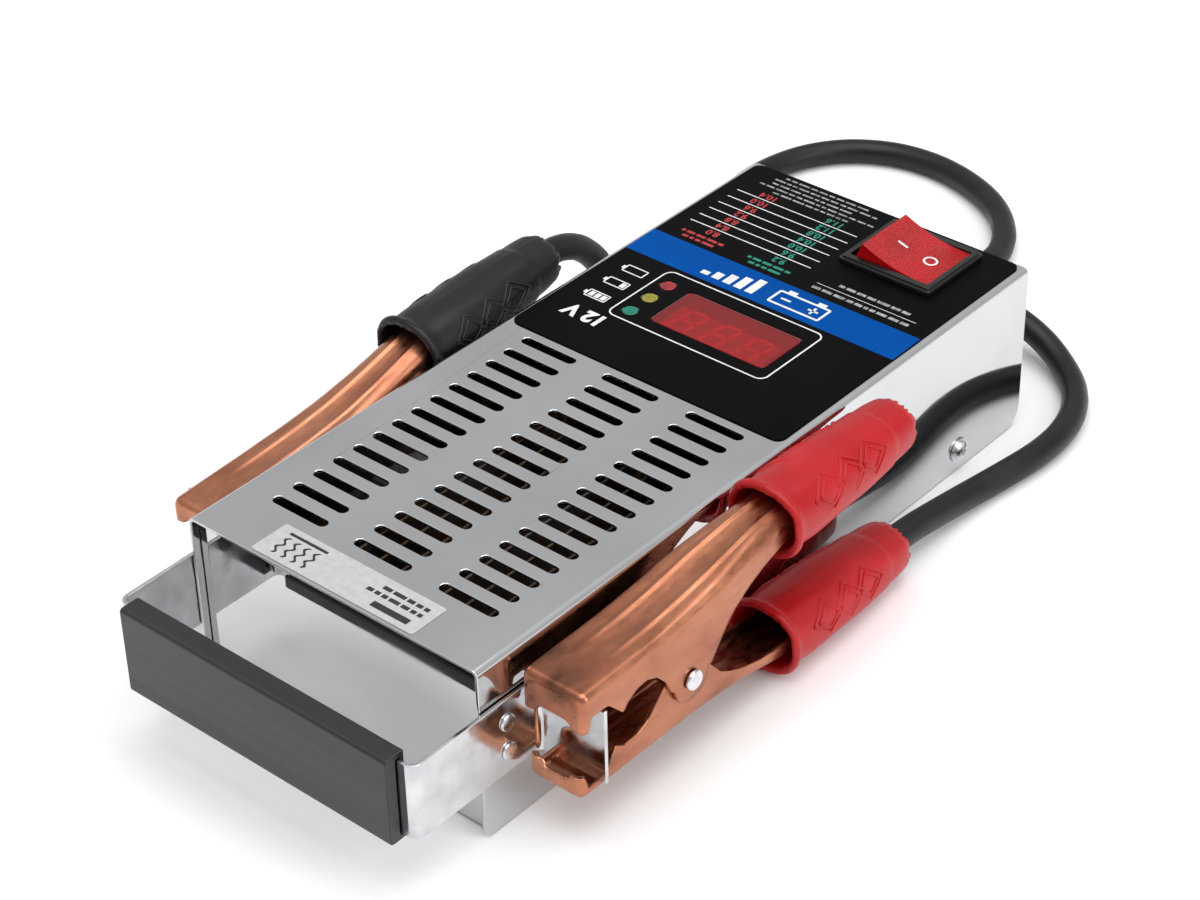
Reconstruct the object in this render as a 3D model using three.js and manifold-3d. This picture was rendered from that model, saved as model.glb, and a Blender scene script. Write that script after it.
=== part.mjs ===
// A fixed-load tester for 12 V car batteries: a folded sheet-metal housing with a vented
// cover, a black control face at one end and a strap handle at the other. Two heavy leads leave the
// back panel and end in copper spring clips, which are parked on the ears of the handle strap.
//
// Units are millimetres. +Z is up, -Y is the handle end, +Y is the cable end and +X is the side of
// the red clip. The origin is the middle of the housing's bottom face.

import * as THREE from 'three';
import { mergeVertices } from 'three/addons/utils/BufferGeometryUtils.js';
import Module from 'manifold-3d';

const wasm = await Module();
wasm.setup();

// ---------------------------------------------------------------- driving dimensions

// Housing
const WIDTH = 105;
const LENGTH = 246;
const HEIGHT = 56;
const SHEET = 1;
const GAP = 0.3;
const FRONT = -LENGTH / 2;
const BACK = LENGTH / 2;
const PANEL_INSET = 2.5;
const TRAY_HALF = WIDTH / 2 - SHEET - GAP;
const SIDE_FLANGE = 14;
const SCREW_Z = 7.7;
const SCREW_YS = [FRONT + 33, FRONT + 213];

// Vent slots of the cover
const SLOT_LENGTH = 20;
const SLOT_WIDTH = 3.3;
const SLOT_COLUMNS = [-30.7, 0, 30.7];
const SLOT_ROWS = 14;
const SLOT_FIRST_Y = FRONT + 20.8;
const SLOT_PITCH = 7.77;

// Control face
const FACE_Y0 = FRONT + 126.5;
const FACE_Y1 = BACK - 0.7;
const FACE_HALF = 50;
const FACE_BOTTOM = HEIGHT + 0.05;
const FACE_TOP = HEIGHT + 0.4;
const WINDOW = { x: 2.7, y: FRONT + 162.2, width: 42, depth: 19.2 };
const LED_X = -25.8;
const LED_YS = { red: FRONT + 170.4, yellow: FRONT + 161.8, green: FRONT + 152.8 };
const LED_RADIUS = 2.5;

// Rocker switch
const SWITCH = { x: 22.15, y: FRONT + 227.5, width: 33.3, depth: 29 };
const SWITCH_BODY = { width: 30.6, depth: 26, well: 28.4, wellDepth: 23.2, bottom: 34 };
const BEZEL_TOP = 58.8;
const ROCKER_PIVOT_Z = 52;
const ROCKER_TILT = 12;
const ROCKER_WIDTH = 22.4;

// Handle strap and its grip
const STRAP = 1.2;
const STRAP_Z0 = 18.8;
const STRAP_Z1 = 42.8;
const STRAP_MID = (STRAP_Z0 + STRAP_Z1) / 2;
const STRAP_X = WIDTH / 2 + GAP + STRAP;
const STRAP_FRONT = FRONT - 26;
const EAR_Y = FRONT + 21;
const EAR_END = 76.5;
const GRIP_HALF = 48.5;
const RIVET_ZS = [STRAP_MID - 4.7, STRAP_MID + 4.7];
const RIVET_Y = FRONT + 8.5;

// Spring clips, in their own frame: x across, y towards the handles, z up, pivot at the origin
const CLIP_SHEET = 1.2;
const CLIP_X = 65.5;
const PIVOT_Y = FRONT + 56;
const BLACK_PITCH = 2;
const HANDLE_END = 90;
const SLEEVE_START = 43;
const SLEEVE_END = 104;
const RIVET_RADIUS = 1.8;

// Leads
const LEAD_RADIUS = 4.25;
const LEAD_SIDES = 10;
const EXIT_Z = 25.4;
const EXIT_X = { red: 7, black: -17 };

// Load element
const ELEMENT = { runs: 10, pitch: 8, y0: FRONT + 24, y1: FRONT + 118, z0: 16.3, z1: 34.3, thick: 0.8 };
const TERMINAL_Y = FRONT + 134;
const TERMINAL_SIZE = 14;

const degrees = THREE.MathUtils.degToRad;

// ---------------------------------------------------------------- solid helpers

// Turns a closed three.js geometry into a solid that can be joined and cut.
function solidOf(geometry) {
  const bare = geometry.index ? geometry.toNonIndexed() : geometry.clone();
  bare.deleteAttribute('normal');
  bare.deleteAttribute('uv');
  const merged = mergeVertices(bare, 1e-4);
  const mesh = new wasm.Mesh({
    numProp: 3,
    vertProperties: new Float32Array(merged.attributes.position.array),
    triVerts: new Uint32Array(merged.index.array),
  });
  return new wasm.Manifold(mesh);
}

// Turns a solid back into a geometry.
function geometryOf(solid) {
  const mesh = solid.getMesh();
  const geometry = new THREE.BufferGeometry();
  geometry.setAttribute('position', new THREE.BufferAttribute(new Float32Array(mesh.vertProperties), 3));
  geometry.setIndex(new THREE.BufferAttribute(new Uint32Array(mesh.triVerts), 1));
  geometry.computeVertexNormals();
  return geometry;
}

// A block between two corners.
function block(x0, x1, y0, y1, z0, z1) {
  const geometry = new THREE.BoxGeometry(x1 - x0, y1 - y0, z1 - z0);
  return geometry.translate((x0 + x1) / 2, (y0 + y1) / 2, (z0 + z1) / 2);
}

// A shape from corner points [x, y, radius]; a radius rounds that corner.
function outline(points, steps = 4) {
  const corners = [];
  const count = points.length;
  for (let i = 0; i < count; i += 1) {
    const here = new THREE.Vector2(points[i][0], points[i][1]);
    const radius = points[i][2] || 0;
    if (radius === 0) {
      corners.push(here);
      continue;
    }
    const before = points[(i + count - 1) % count];
    const after = points[(i + 1) % count];
    const inward = new THREE.Vector2(before[0], before[1]).sub(here).normalize();
    const outward = new THREE.Vector2(after[0], after[1]).sub(here).normalize();
    const half = Math.acos(THREE.MathUtils.clamp(inward.dot(outward), -1, 1)) / 2;
    const middle = inward.clone().add(outward).normalize();
    const centre = here.clone().addScaledVector(middle, radius / Math.sin(half));
    const first = here.clone().addScaledVector(inward, radius / Math.tan(half)).sub(centre);
    const last = here.clone().addScaledVector(outward, radius / Math.tan(half)).sub(centre);
    const turn = Math.atan2(first.cross(last), first.dot(last));
    for (let step = 0; step <= steps; step += 1) {
      corners.push(first.clone().rotateAround(new THREE.Vector2(), (turn * step) / steps).add(centre));
    }
  }
  return new THREE.Shape(corners);
}

// A rounded rectangle about a centre.
function roundedRectangle(x, y, width, depth, radius, steps = 4) {
  const w = width / 2;
  const d = depth / 2;
  const corners = [
    [x - w, y - d, radius],
    [x + w, y - d, radius],
    [x + w, y + d, radius],
    [x - w, y + d, radius],
  ];
  return outline(corners, steps);
}

// Extrudes a shape along an axis: 'z' reads it as (x, y), 'x' as (y, z) and 'y' as (x, z).
function prism(shape, axis, from, to) {
  const geometry = new THREE.ExtrudeGeometry(shape, { depth: to - from, bevelEnabled: false });
  const x = new THREE.Vector3(1, 0, 0);
  const y = new THREE.Vector3(0, 1, 0);
  const z = new THREE.Vector3(0, 0, 1);
  const placed = new THREE.Matrix4();
  if (axis === 'x') {
    placed.makeBasis(y, z, x).setPosition(from, 0, 0);
  } else if (axis === 'y') {
    placed.makeBasis(x, z, y.clone().negate()).setPosition(0, to, 0);
  } else {
    placed.setPosition(0, 0, from);
  }
  return geometry.applyMatrix4(placed);
}

// A turned piece from points [radius, height], along +Z, or along +X or +Y where the axis says so.
function turned(points, axis = 'z', sides = 20) {
  const profile = points.map(([radius, height]) => new THREE.Vector2(radius, height));
  const geometry = new THREE.LatheGeometry(profile, sides);
  geometry.rotateX(Math.PI / 2);
  if (axis === 'x') {
    geometry.rotateY(Math.PI / 2);
  } else if (axis === 'y') {
    geometry.rotateX(-Math.PI / 2);
  }
  return geometry;
}

// Skins a closed body over rings of points; it is capped at both ends, or closed on itself.
function skin(rings, closed = false) {
  const positions = rings.flat(2);
  const size = rings[0].length;
  const faces = [];
  const last = closed ? rings.length : rings.length - 1;
  for (let i = 0; i < last; i += 1) {
    const a = i * size;
    const b = ((i + 1) % rings.length) * size;
    for (let j = 0; j < size; j += 1) {
      const k = (j + 1) % size;
      faces.push(a + j, a + k, b + k, a + j, b + k, b + j);
    }
  }
  if (!closed) {
    const end = (rings.length - 1) * size;
    const cap = rings[0].map((point) => new THREE.Vector2(point[0], point[2]));
    for (const [p, q, r] of THREE.ShapeUtils.triangulateShape(cap, [])) {
      faces.push(p, q, r);
      faces.push(end + r, end + q, end + p);
    }
  }
  const geometry = new THREE.BufferGeometry();
  geometry.setAttribute('position', new THREE.Float32BufferAttribute(positions, 3));
  geometry.setIndex(faces);
  return geometry;
}

// A round bar or cable along points.
function tube(points, radius, steps, sides) {
  const places = points.map((point) => new THREE.Vector3(...point));
  const path = new THREE.CatmullRomCurve3(places, false, 'centripetal');
  const section = new THREE.Shape();
  for (let i = 0; i < sides; i += 1) {
    const angle = (2 * Math.PI * i) / sides;
    const corner = [radius * Math.cos(angle), radius * Math.sin(angle)];
    if (i === 0) {
      section.moveTo(...corner);
    } else {
      section.lineTo(...corner);
    }
  }
  return new THREE.ExtrudeGeometry(section, { steps, extrudePath: path, bevelEnabled: false });
}

// ---------------------------------------------------------------- finishes

function finish(color, roughness, metalness) {
  return new THREE.MeshStandardMaterial({ color, roughness, metalness });
}

const finishes = {
  chromed: finish(0xc8c9cb, 0.12, 1),
  plated: finish(0xb9bbbd, 0.3, 1),
  copper: finish(0xb87a5a, 0.35, 1),
  brass: finish(0xc9a552, 0.3, 1),
  nichrome: finish(0x6b5748, 0.5, 1),
  ceramic: finish(0xe6e0d4, 0.8, 0),
  board: finish(0x1f6b3a, 0.6, 0),
  face: finish(0x1b1b1d, 0.45, 0),
  silverLabel: finish(0xdcdddf, 0.4, 0.2),
  redLens: finish(0x8c1018, 0.15, 0),
  blackPlastic: finish(0x222224, 0.45, 0),
  redPlastic: finish(0xc8202a, 0.25, 0),
  redRubber: finish(0xd42f35, 0.5, 0),
  blackRubber: finish(0x2a2a2c, 0.6, 0),
  ledRed: finish(0xa01c20, 0.2, 0),
  ledYellow: finish(0xb0a020, 0.2, 0),
  ledGreen: finish(0x107a50, 0.2, 0),
};

const tester = new THREE.Group();

// Adds one named piece to the tester, or to a group inside it.
function piece(name, geometry, material, parent = tester) {
  const mesh = new THREE.Mesh(geometry, material);
  mesh.name = name;
  parent.add(mesh);
  return mesh;
}

// ---------------------------------------------------------------- housing

// The cover is one sheet folded into an inverted U. Its side panels have rounded lower corners.
function topCover() {
  const half = WIDTH / 2;
  const fold = outline([
    [-half, GAP],
    [-half, HEIGHT, 2],
    [half, HEIGHT, 2],
    [half, GAP],
    [half - SHEET, GAP],
    [half - SHEET, HEIGHT - SHEET, 1],
    [-half + SHEET, HEIGHT - SHEET, 1],
    [-half + SHEET, GAP],
  ]);
  const side = outline([
    [FRONT, HEIGHT + 1],
    [FRONT, GAP, 3.5],
    [BACK, GAP, 7],
    [BACK, HEIGHT + 1],
  ]);
  let cover = solidOf(prism(fold, 'y', FRONT, BACK));
  cover = cover.intersect(solidOf(prism(side, 'x', -half - 1, half + 1)));
  for (const x of SLOT_COLUMNS) {
    for (let row = 0; row < SLOT_ROWS; row += 1) {
      const y = SLOT_FIRST_Y + row * SLOT_PITCH;
      const slot = roundedRectangle(x, y, SLOT_LENGTH, SLOT_WIDTH, SLOT_WIDTH / 2 - 0.01, 3);
      cover = cover.subtract(solidOf(prism(slot, 'z', HEIGHT - 3, HEIGHT + 3)));
    }
  }
  for (const opening of faceOpenings(0.3)) {
    cover = cover.subtract(solidOf(prism(opening, 'z', HEIGHT - 3, HEIGHT + 3)));
  }
  for (const y of SCREW_YS) {
    cover = cover.subtract(crossHole(1.9, y, SCREW_Z));
  }
  for (const z of RIVET_ZS) {
    cover = cover.subtract(crossHole(1.8, RIVET_Y, z));
  }
  return geometryOf(cover);
}

// A round hole through both side panels.
function crossHole(radius, y, z) {
  const reach = WIDTH;
  const hole = turned([[0, -reach], [radius, -reach], [radius, reach], [0, reach]], 'x', 16);
  return solidOf(hole.translate(0, y, z));
}

// The openings that the cover and the control face share, each larger all round by a clearance.
function faceOpenings(clearance) {
  const openings = [];
  const grow = 2 * clearance;
  openings.push(roundedRectangle(WINDOW.x, WINDOW.y, WINDOW.width + grow, WINDOW.depth + grow, 1.8, 3));
  const width = SWITCH_BODY.width + grow;
  openings.push(roundedRectangle(SWITCH.x, SWITCH.y, width, SWITCH_BODY.depth + grow, 0.8, 2));
  for (const y of Object.values(LED_YS)) {
    const hole = new THREE.Shape();
    hole.absarc(LED_X, y, LED_RADIUS + clearance, 0, 2 * Math.PI);
    openings.push(new THREE.Shape(hole.getPoints(5).slice(0, -1)));
  }
  return openings;
}

// The tray is one sheet folded into front panel, bottom and back panel, with two side flanges that
// take the cover's screws. Its back panel has the two lead holes.
function baseTray() {
  const y0 = FRONT + PANEL_INSET;
  const y1 = BACK - PANEL_INSET;
  const top = HEIGHT - SHEET - GAP;
  const fold = outline([
    [y0, top],
    [y0, 0, 2.5],
    [y1, 0, 2.5],
    [y1, top],
    [y1 - SHEET, top],
    [y1 - SHEET, SHEET, 1.5],
    [y0 + SHEET, SHEET, 1.5],
    [y0 + SHEET, top],
  ]);
  let tray = solidOf(prism(fold, 'x', -TRAY_HALF, TRAY_HALF));
  for (const side of [-1, 1]) {
    const outer = side * TRAY_HALF;
    const inner = side * (TRAY_HALF - SHEET);
    const low = Math.min(outer, inner);
    const high = Math.max(outer, inner);
    const flange = block(low, high, y0 + 5, y1 - 5, SHEET / 2, SIDE_FLANGE);
    tray = tray.add(solidOf(flange));
  }
  for (const y of SCREW_YS) {
    tray = tray.subtract(crossHole(1.9, y, SCREW_Z));
  }
  for (const x of Object.values(EXIT_X)) {
    const hole = turned([[0, -5], [5.9, -5], [5.9, 5], [0, 5]], 'y', 24);
    tray = tray.subtract(solidOf(hole.translate(x, y1 - SHEET / 2, EXIT_Z)));
  }
  return geometryOf(tray);
}

// A pan-head screw along +X with a cross recess and a washer under its head.
function sideScrew() {
  const face = WIDTH / 2 + 0.1;
  const shank = 1.5;
  const washer = 4;
  const body = turned([
    [0, face - 8],
    [shank, face - 8],
    [shank, face],
    [washer, face],
    [washer, face + 0.6],
    [3.1, face + 0.6],
    [3, face + 1.3],
    [2.1, face + 1.9],
    [0, face + 2.1],
  ], 'x', 20);
  let screw = solidOf(body);
  for (const [width, height] of [[0.8, 3], [3, 0.8]]) {
    const arm = block(face + 1.1, face + 3, -width / 2, width / 2, -height / 2, height / 2);
    screw = screw.subtract(solidOf(arm));
  }
  return geometryOf(screw);
}

piece('top_cover', topCover(), finishes.chromed);
piece('base_tray', baseTray(), finishes.chromed);
for (const [side, turn] of [['right', 0], ['left', Math.PI]]) {
  for (const [place, y] of [['front', SCREW_YS[0]], ['rear', SCREW_YS[1]]]) {
    const screw = piece(`side_screw_${side}_${place}`, sideScrew(), finishes.plated);
    screw.position.set(0, y, SCREW_Z);
    screw.rotation.z = turn;
  }
}

// ---------------------------------------------------------------- control face

// The printed face is a thin film on the cover, cut out for the window, the lamps and the switch.
function faceOverlay() {
  const middle = (FACE_Y0 + FACE_Y1) / 2;
  const sheet = roundedRectangle(0, middle, 2 * FACE_HALF, FACE_Y1 - FACE_Y0, 3);
  let film = solidOf(prism(sheet, 'z', FACE_BOTTOM, FACE_TOP));
  for (const opening of faceOpenings(0.35)) {
    film = film.subtract(solidOf(prism(opening, 'z', HEIGHT - 2, HEIGHT + 2)));
  }
  return geometryOf(film);
}

piece('face_overlay', faceOverlay(), finishes.face);

const labelShape = roundedRectangle(0, FRONT + 7.6, 58.6, 13.4, 0.8, 2);
piece('caution_label', prism(labelShape, 'z', FACE_BOTTOM, HEIGHT + 0.2), finishes.silverLabel);

const windowShape = roundedRectangle(WINDOW.x, WINDOW.y, WINDOW.width, WINDOW.depth, 1.6, 3);
piece('display_window', prism(windowShape, 'z', HEIGHT - 0.9, HEIGHT + 0.3), finishes.redLens);

// The three-digit display stands on the circuit board under the window.
const BOARD_Z = 45;
const BOARD_TOP = BOARD_Z + 1.6;
const BOARD = { x0: -46, x1: 46, y0: FRONT + 141, y1: FRONT + 206 };
const moduleBlock = block(
  WINDOW.x - 18.8,
  WINDOW.x + 18.8,
  WINDOW.y - 9.4,
  WINDOW.y + 9.4,
  BOARD_TOP + 0.1,
  HEIGHT - SHEET - GAP,
);
piece('display_module', moduleBlock, finishes.blackPlastic);
piece('circuit_board', block(BOARD.x0, BOARD.x1, BOARD.y0, BOARD.y1, BOARD_Z, BOARD_TOP), finishes.board);

let spacer = 0;
for (const x of [BOARD.x0 + 5, BOARD.x1 - 5]) {
  for (const y of [BOARD.y0 + 5, BOARD.y1 - 5]) {
    spacer += 1;
    const height = HEIGHT - SHEET - 0.1 - (BOARD_TOP + 0.1);
    const post = turned([[0, 0], [3, 0], [3, height], [0, height]], 'z', 12);
    post.translate(x, y, BOARD_TOP + 0.1);
    piece(`board_spacer_${spacer}`, post, finishes.brass);
  }
}

// A 5 mm lamp: two leads drawn as one foot, a rim and a flat-topped lens flush with the face.
function lamp() {
  const foot = BOARD_TOP + 0.1;
  const rim = HEIGHT - 5;
  const lens = LED_RADIUS - 0.05;
  return turned([
    [0, foot],
    [1.2, foot],
    [1.2, rim],
    [LED_RADIUS + 0.4, rim],
    [LED_RADIUS + 0.4, rim + 1],
    [lens, rim + 1],
    [lens, FACE_TOP - 0.2],
    [lens - 0.2, FACE_TOP],
    [0, FACE_TOP],
  ], 'z', 20);
}

for (const [colour, lens] of [['red', 'ledRed'], ['yellow', 'ledYellow'], ['green', 'ledGreen']]) {
  piece(`led_${colour}`, lamp().translate(LED_X, LED_YS[colour], 0), finishes[lens]);
}

// ---------------------------------------------------------------- rocker switch

// The switch housing: a bevelled bezel on the face, a body under it and an open well for the rocker.
function switchHousing() {
  const bottom = FACE_TOP + 0.1;
  const rim = roundedRectangle(SWITCH.x, SWITCH.y, SWITCH.width, SWITCH.depth, 1.2, 3);
  const lip = roundedRectangle(SWITCH.x, SWITCH.y, SWITCH.width - 1.6, SWITCH.depth - 1.6, 0.8, 3);
  const body = roundedRectangle(SWITCH.x, SWITCH.y, SWITCH_BODY.width, SWITCH_BODY.depth, 0.6, 2);
  const well = roundedRectangle(SWITCH.x, SWITCH.y, SWITCH_BODY.well, SWITCH_BODY.wellDepth, 0.4, 2);
  let housing = solidOf(prism(rim, 'z', bottom, BEZEL_TOP - 0.8));
  housing = housing.add(solidOf(prism(lip, 'z', bottom, BEZEL_TOP)));
  housing = housing.add(solidOf(prism(body, 'z', SWITCH_BODY.bottom, BEZEL_TOP - 1)));
  housing = housing.subtract(solidOf(prism(well, 'z', ROCKER_PIVOT_Z - 8, BEZEL_TOP + 1)));
  const reach = SWITCH_BODY.wellDepth / 2 + 0.9;
  const bearing = turned([[0, -reach], [1.6, -reach], [1.6, reach], [0, reach]], 'y', 16);
  housing = housing.subtract(solidOf(bearing.translate(SWITCH.x, SWITCH.y, ROCKER_PIVOT_Z)));
  return geometryOf(housing);
}

// The rocker is hollowed across its top and has a trunnion at each side. Drawn about its pivot.
function rocker() {
  const reach = 12.3;
  const top = (x) => 7.6 + 1.45 * (x / reach) ** 2;
  const points = [];
  for (let step = 0; step <= 10; step += 1) {
    const x = reach - (2 * reach * step) / 10;
    points.push([x, top(x)]);
  }
  points.push([-13.45, 3.4], [-6, -3], [6, -3], [13.45, 3.4]);
  const side = ROCKER_WIDTH / 2;
  let button = solidOf(prism(outline(points), 'y', -side, side));
  const end = side + 0.8;
  button = button.add(solidOf(turned([[0, -end], [1.2, -end], [1.2, end], [0, end]], 'y', 16)));
  return geometryOf(button);
}

piece('switch_housing', switchHousing(), finishes.blackPlastic);
const rockerButton = piece('rocker_button', rocker(), finishes.redPlastic);
rockerButton.position.set(SWITCH.x, SWITCH.y, ROCKER_PIVOT_Z);
rockerButton.rotation.y = degrees(ROCKER_TILT);

// ---------------------------------------------------------------- load element

// One nickel-chrome strip folded to and fro, both ends brought out at the back.
function loadElement() {
  const { runs, pitch, y0, y1, thick } = ELEMENT;
  const first = (-(runs - 1) * pitch) / 2;
  const bend = pitch / 2;
  const left = [];
  const right = [];
  for (let run = 0; run < runs; run += 1) {
    const x = first + run * pitch;
    const up = run % 2 === 1;
    const tail = run === 0 || run === runs - 1;
    const low = y0 + bend;
    const high = tail ? TERMINAL_Y : y1 - bend;
    const from = up ? low : high;
    const to = up ? high : low;
    const sign = up ? 1 : -1;
    left.push([x - (sign * thick) / 2, from], [x - (sign * thick) / 2, to]);
    right.push([x + (sign * thick) / 2, from], [x + (sign * thick) / 2, to]);
    for (let step = 1; step < 6 && run < runs - 1; step += 1) {
      const angle = (Math.PI * step) / 6;
      const centre = x + bend;
      const around = (radius) => [centre - radius * Math.cos(angle), to + sign * radius * Math.sin(angle)];
      left.push(around(bend + (sign * thick) / 2));
      right.push(around(bend - (sign * thick) / 2));
    }
  }
  return prism(outline([...left, ...right.reverse()]), 'z', ELEMENT.z0, ELEMENT.z1);
}

piece('load_element', loadElement(), finishes.nichrome);
for (const [place, y] of [['front', ELEMENT.y0 + 18], ['rear', ELEMENT.y1 - 18]]) {
  const bar = block(-42, 42, y - 4, y + 4, SHEET + GAP, ELEMENT.z0 - GAP);
  piece(`element_bar_${place}`, bar, finishes.ceramic);
}

// A brass clamp joins each end of the element to its lead: a slot for the strip, a bore for the lead.
function terminal() {
  const half = TERMINAL_SIZE / 2;
  let clamp = solidOf(block(-half, half, -half, half, -half, half));
  clamp = clamp.subtract(solidOf(block(-0.7, 0.7, -half - 1, 1, -half - 1, half + 1)));
  const bore = turned([[0, 3], [4.6, 3], [4.6, half + 1], [0, half + 1]], 'y', 16);
  return geometryOf(clamp.subtract(solidOf(bore)));
}

const TERMINAL_X = ((ELEMENT.runs - 1) * ELEMENT.pitch) / 2;
const TERMINAL_Z = (ELEMENT.z0 + ELEMENT.z1) / 2;
for (const [colour, side] of [['red', 1], ['black', -1]]) {
  const clamp = piece(`terminal_${colour}`, terminal(), finishes.brass);
  clamp.position.set(side * TERMINAL_X, TERMINAL_Y, TERMINAL_Z);
}

// ---------------------------------------------------------------- handle

// The strap runs round the front as a U. Its ends turn outwards into the ears that park the clips.
function handleStrap() {
  const inside = STRAP_X - STRAP;
  const front = STRAP_FRONT;
  const near = EAR_Y - STRAP / 2;
  const far = EAR_Y + STRAP / 2;
  const strip = outline([
    [EAR_END, near],
    [EAR_END, far],
    [inside, far, 3],
    [inside, front + STRAP, 2],
    [-inside, front + STRAP, 2],
    [-inside, far, 3],
    [-EAR_END, far],
    [-EAR_END, near],
    [-STRAP_X, near, 1.8],
    [-STRAP_X, front, 3.2],
    [STRAP_X, front, 3.2],
    [STRAP_X, near, 1.8],
  ]);
  let strap = solidOf(prism(strip, 'z', STRAP_Z0, STRAP_Z1));
  for (const z of RIVET_ZS) {
    strap = strap.subtract(crossHole(1.8, RIVET_Y, z));
  }
  return geometryOf(strap);
}

// The grip is an extruded plastic channel that snaps over the front of the strap.
function handleGrip() {
  const outer = STRAP_FRONT - 4;
  const pocket = STRAP_FRONT - GAP;
  const hook = STRAP_FRONT + STRAP + GAP;
  const rear = hook + 1.3;
  const low = STRAP_Z0 - GAP;
  const high = STRAP_Z1 + GAP;
  const section = outline([
    [outer, low - 1.7, 1.2],
    [rear, low - 1.7, 0.5],
    [rear, low + 2.6, 0.4],
    [hook, low + 2.6],
    [hook, low],
    [pocket, low],
    [pocket, high],
    [hook, high],
    [hook, high - 2.6],
    [rear, high - 2.6, 0.4],
    [rear, high + 1.7, 0.5],
    [outer, high + 1.7, 1.2],
  ]);
  return prism(section, 'x', -GRIP_HALF, GRIP_HALF);
}

// A tubular rivet with a flat head outside and a rolled head inside.
function strapRivet() {
  const outside = STRAP_X + 0.1;
  const inside = WIDTH / 2 - SHEET - 0.1;
  return turned([
    [0, inside - 0.8],
    [2.3, inside - 0.8],
    [2.3, inside],
    [1.4, inside],
    [1.4, outside],
    [2.6, outside],
    [2.4, outside + 0.6],
    [0, outside + 0.8],
  ], 'x', 16);
}

piece('handle_strap', handleStrap(), finishes.plated);
piece('handle_grip', handleGrip(), finishes.blackPlastic);
for (const [side, turn] of [['right', 0], ['left', Math.PI]]) {
  for (const [place, z] of [['low', RIVET_ZS[0]], ['high', RIVET_ZS[1]]]) {
    const rivet = piece(`strap_rivet_${side}_${place}`, strapRivet(), finishes.plated);
    rivet.position.set(0, RIVET_Y, z);
    rivet.rotation.z = turn;
  }
}

// ---------------------------------------------------------------- clips

// Reads a value off a line of [y, value] points.
function along(line, y) {
  if (y <= line[0][0]) {
    return line[0][1];
  }
  for (let i = 1; i < line.length; i += 1) {
    const [y0, value0] = line[i - 1];
    const [y1, value1] = line[i];
    if (y <= y1) {
      return value0 + ((value1 - value0) * (y - y0)) / (y1 - y0);
    }
  }
  return line[line.length - 1][1];
}

// Half of a pressed clip is a channel: a web that follows one line, two cheeks, and a lip in front.
// 'up' is 1 where the web is on top and -1 where it is below.
function channelBody(half, inset, up) {
  const radius = 2.2 - inset;
  const stations = half.web.map(([y]) => y);
  const rings = stations.map((y, index) => {
    const width = along(half.width, y) - inset;
    const web = half.web[index][1] - inset;
    const shift = y + inset;
    const ring = [[-width, shift, -30 * up]];
    for (let step = 0; step <= 4; step += 1) {
      const angle = (Math.PI / 2) * (1 - step / 4);
      const x = -width + radius - radius * Math.sin(angle);
      ring.push([x, shift, up * (web - radius + radius * Math.cos(angle))]);
    }
    for (let step = 0; step <= 4; step += 1) {
      const angle = (Math.PI / 2) * (step / 4);
      const x = width - radius + radius * Math.sin(angle);
      ring.push([x, shift, up * (web - radius + radius * Math.cos(angle))]);
    }
    ring.push([width, shift, -30 * up]);
    return up > 0 ? ring : ring.reverse();
  });
  return solidOf(skin(rings));
}

function clipHalf(half, up) {
  let body = channelBody(half, 0, up);
  body = body.subtract(channelBody(half, CLIP_SHEET, up));
  const reach = 20;
  const edge = outline(half.edge.map(([y, z, radius]) => [y, up * z, radius]), 5);
  body = body.intersect(solidOf(prism(edge, 'x', -reach, reach)));
  const notch = half.notch;
  const low = Math.min(up * notch.z0, up * notch.z1);
  const high = Math.max(up * notch.z0, up * notch.z1);
  body = body.subtract(solidOf(block(-notch.half, notch.half, -50, -40.5, low, high)));
  const hole = turned([[0, -reach], [2.1, -reach], [2.1, reach], [0, reach]], 'x', 16);
  return geometryOf(body.subtract(solidOf(hole)));
}

// The lever half: web height and width along the clip, and the edge that trims the cheeks.
const leverHalf = {
  web: [
    [-43, 17.4], [-42.5, 18.9], [-41.5, 19.8], [-40, 20.2], [-12, 20.6], [1, 21.8], [17, 24.2],
    [33, 26.4], [46, 27], [68, 26.8], [HANDLE_END, 26.2],
  ],
  width: [[-43, 9.9], [-41, 10.5], [14, 10.5], [44, 8], [HANDLE_END, 5.6]],
  edge: [
    [-50, 34], [-50, 8.4], [-41.4, 8.4], [-40.2, 12.9, 1], [-33.4, 12.7], [-30, 9.2], [-27.6, 6.8],
    [-25.4, 9.2, 1], [-19, 10.2, 4], [-11, 6.6, 3], [-8.6, 0], [-4.6, -5.2, 3], [4.6, -5.2, 3],
    [9, 0], [13.5, 7.4, 5], [24, 14.2, 8], [41, 18.6, 8], [HANDLE_END, 19.2], [HANDLE_END, 34],
  ],
  notch: { half: 6.4, z0: 7, z1: 11 },
};

// The cable half, which is a little narrower so that it nests inside the lever half at the pivot.
const cableHalf = {
  web: [
    [-43, 12], [-42.5, 13.3], [-41.5, 14.1], [-40, 14.5], [-12, 14.9], [1, 15.5], [14, 16.7], [27, 19.2],
    [40, 22.4], [46, 23.5], [68, 24.7], [HANDLE_END, 25.6],
  ],
  width: [[-43, 8.4], [-41, 9], [14, 9], [44, 8], [HANDLE_END, 5.6]],
  edge: [
    [-50, 34], [-50, 7.4], [-41.4, 7.4], [-39.6, 12.9, 1.5], [-33.4, 12.9, 1], [-30.6, 6.2],
    [-29, 4.4], [-26, 6.6, 1.5], [-16.7, 5.2, 4], [-10.6, -1.4, 3], [-4.6, -5.2, 3], [4.6, -5.2, 3],
    [9.5, 1], [14, 7.4, 4], [24, 12.8, 8], [41, 16.8, 8], [HANDLE_END, 18.4], [HANDLE_END, 34],
  ],
  notch: { half: 5, z0: 6, z1: 9.4 },
};

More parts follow.
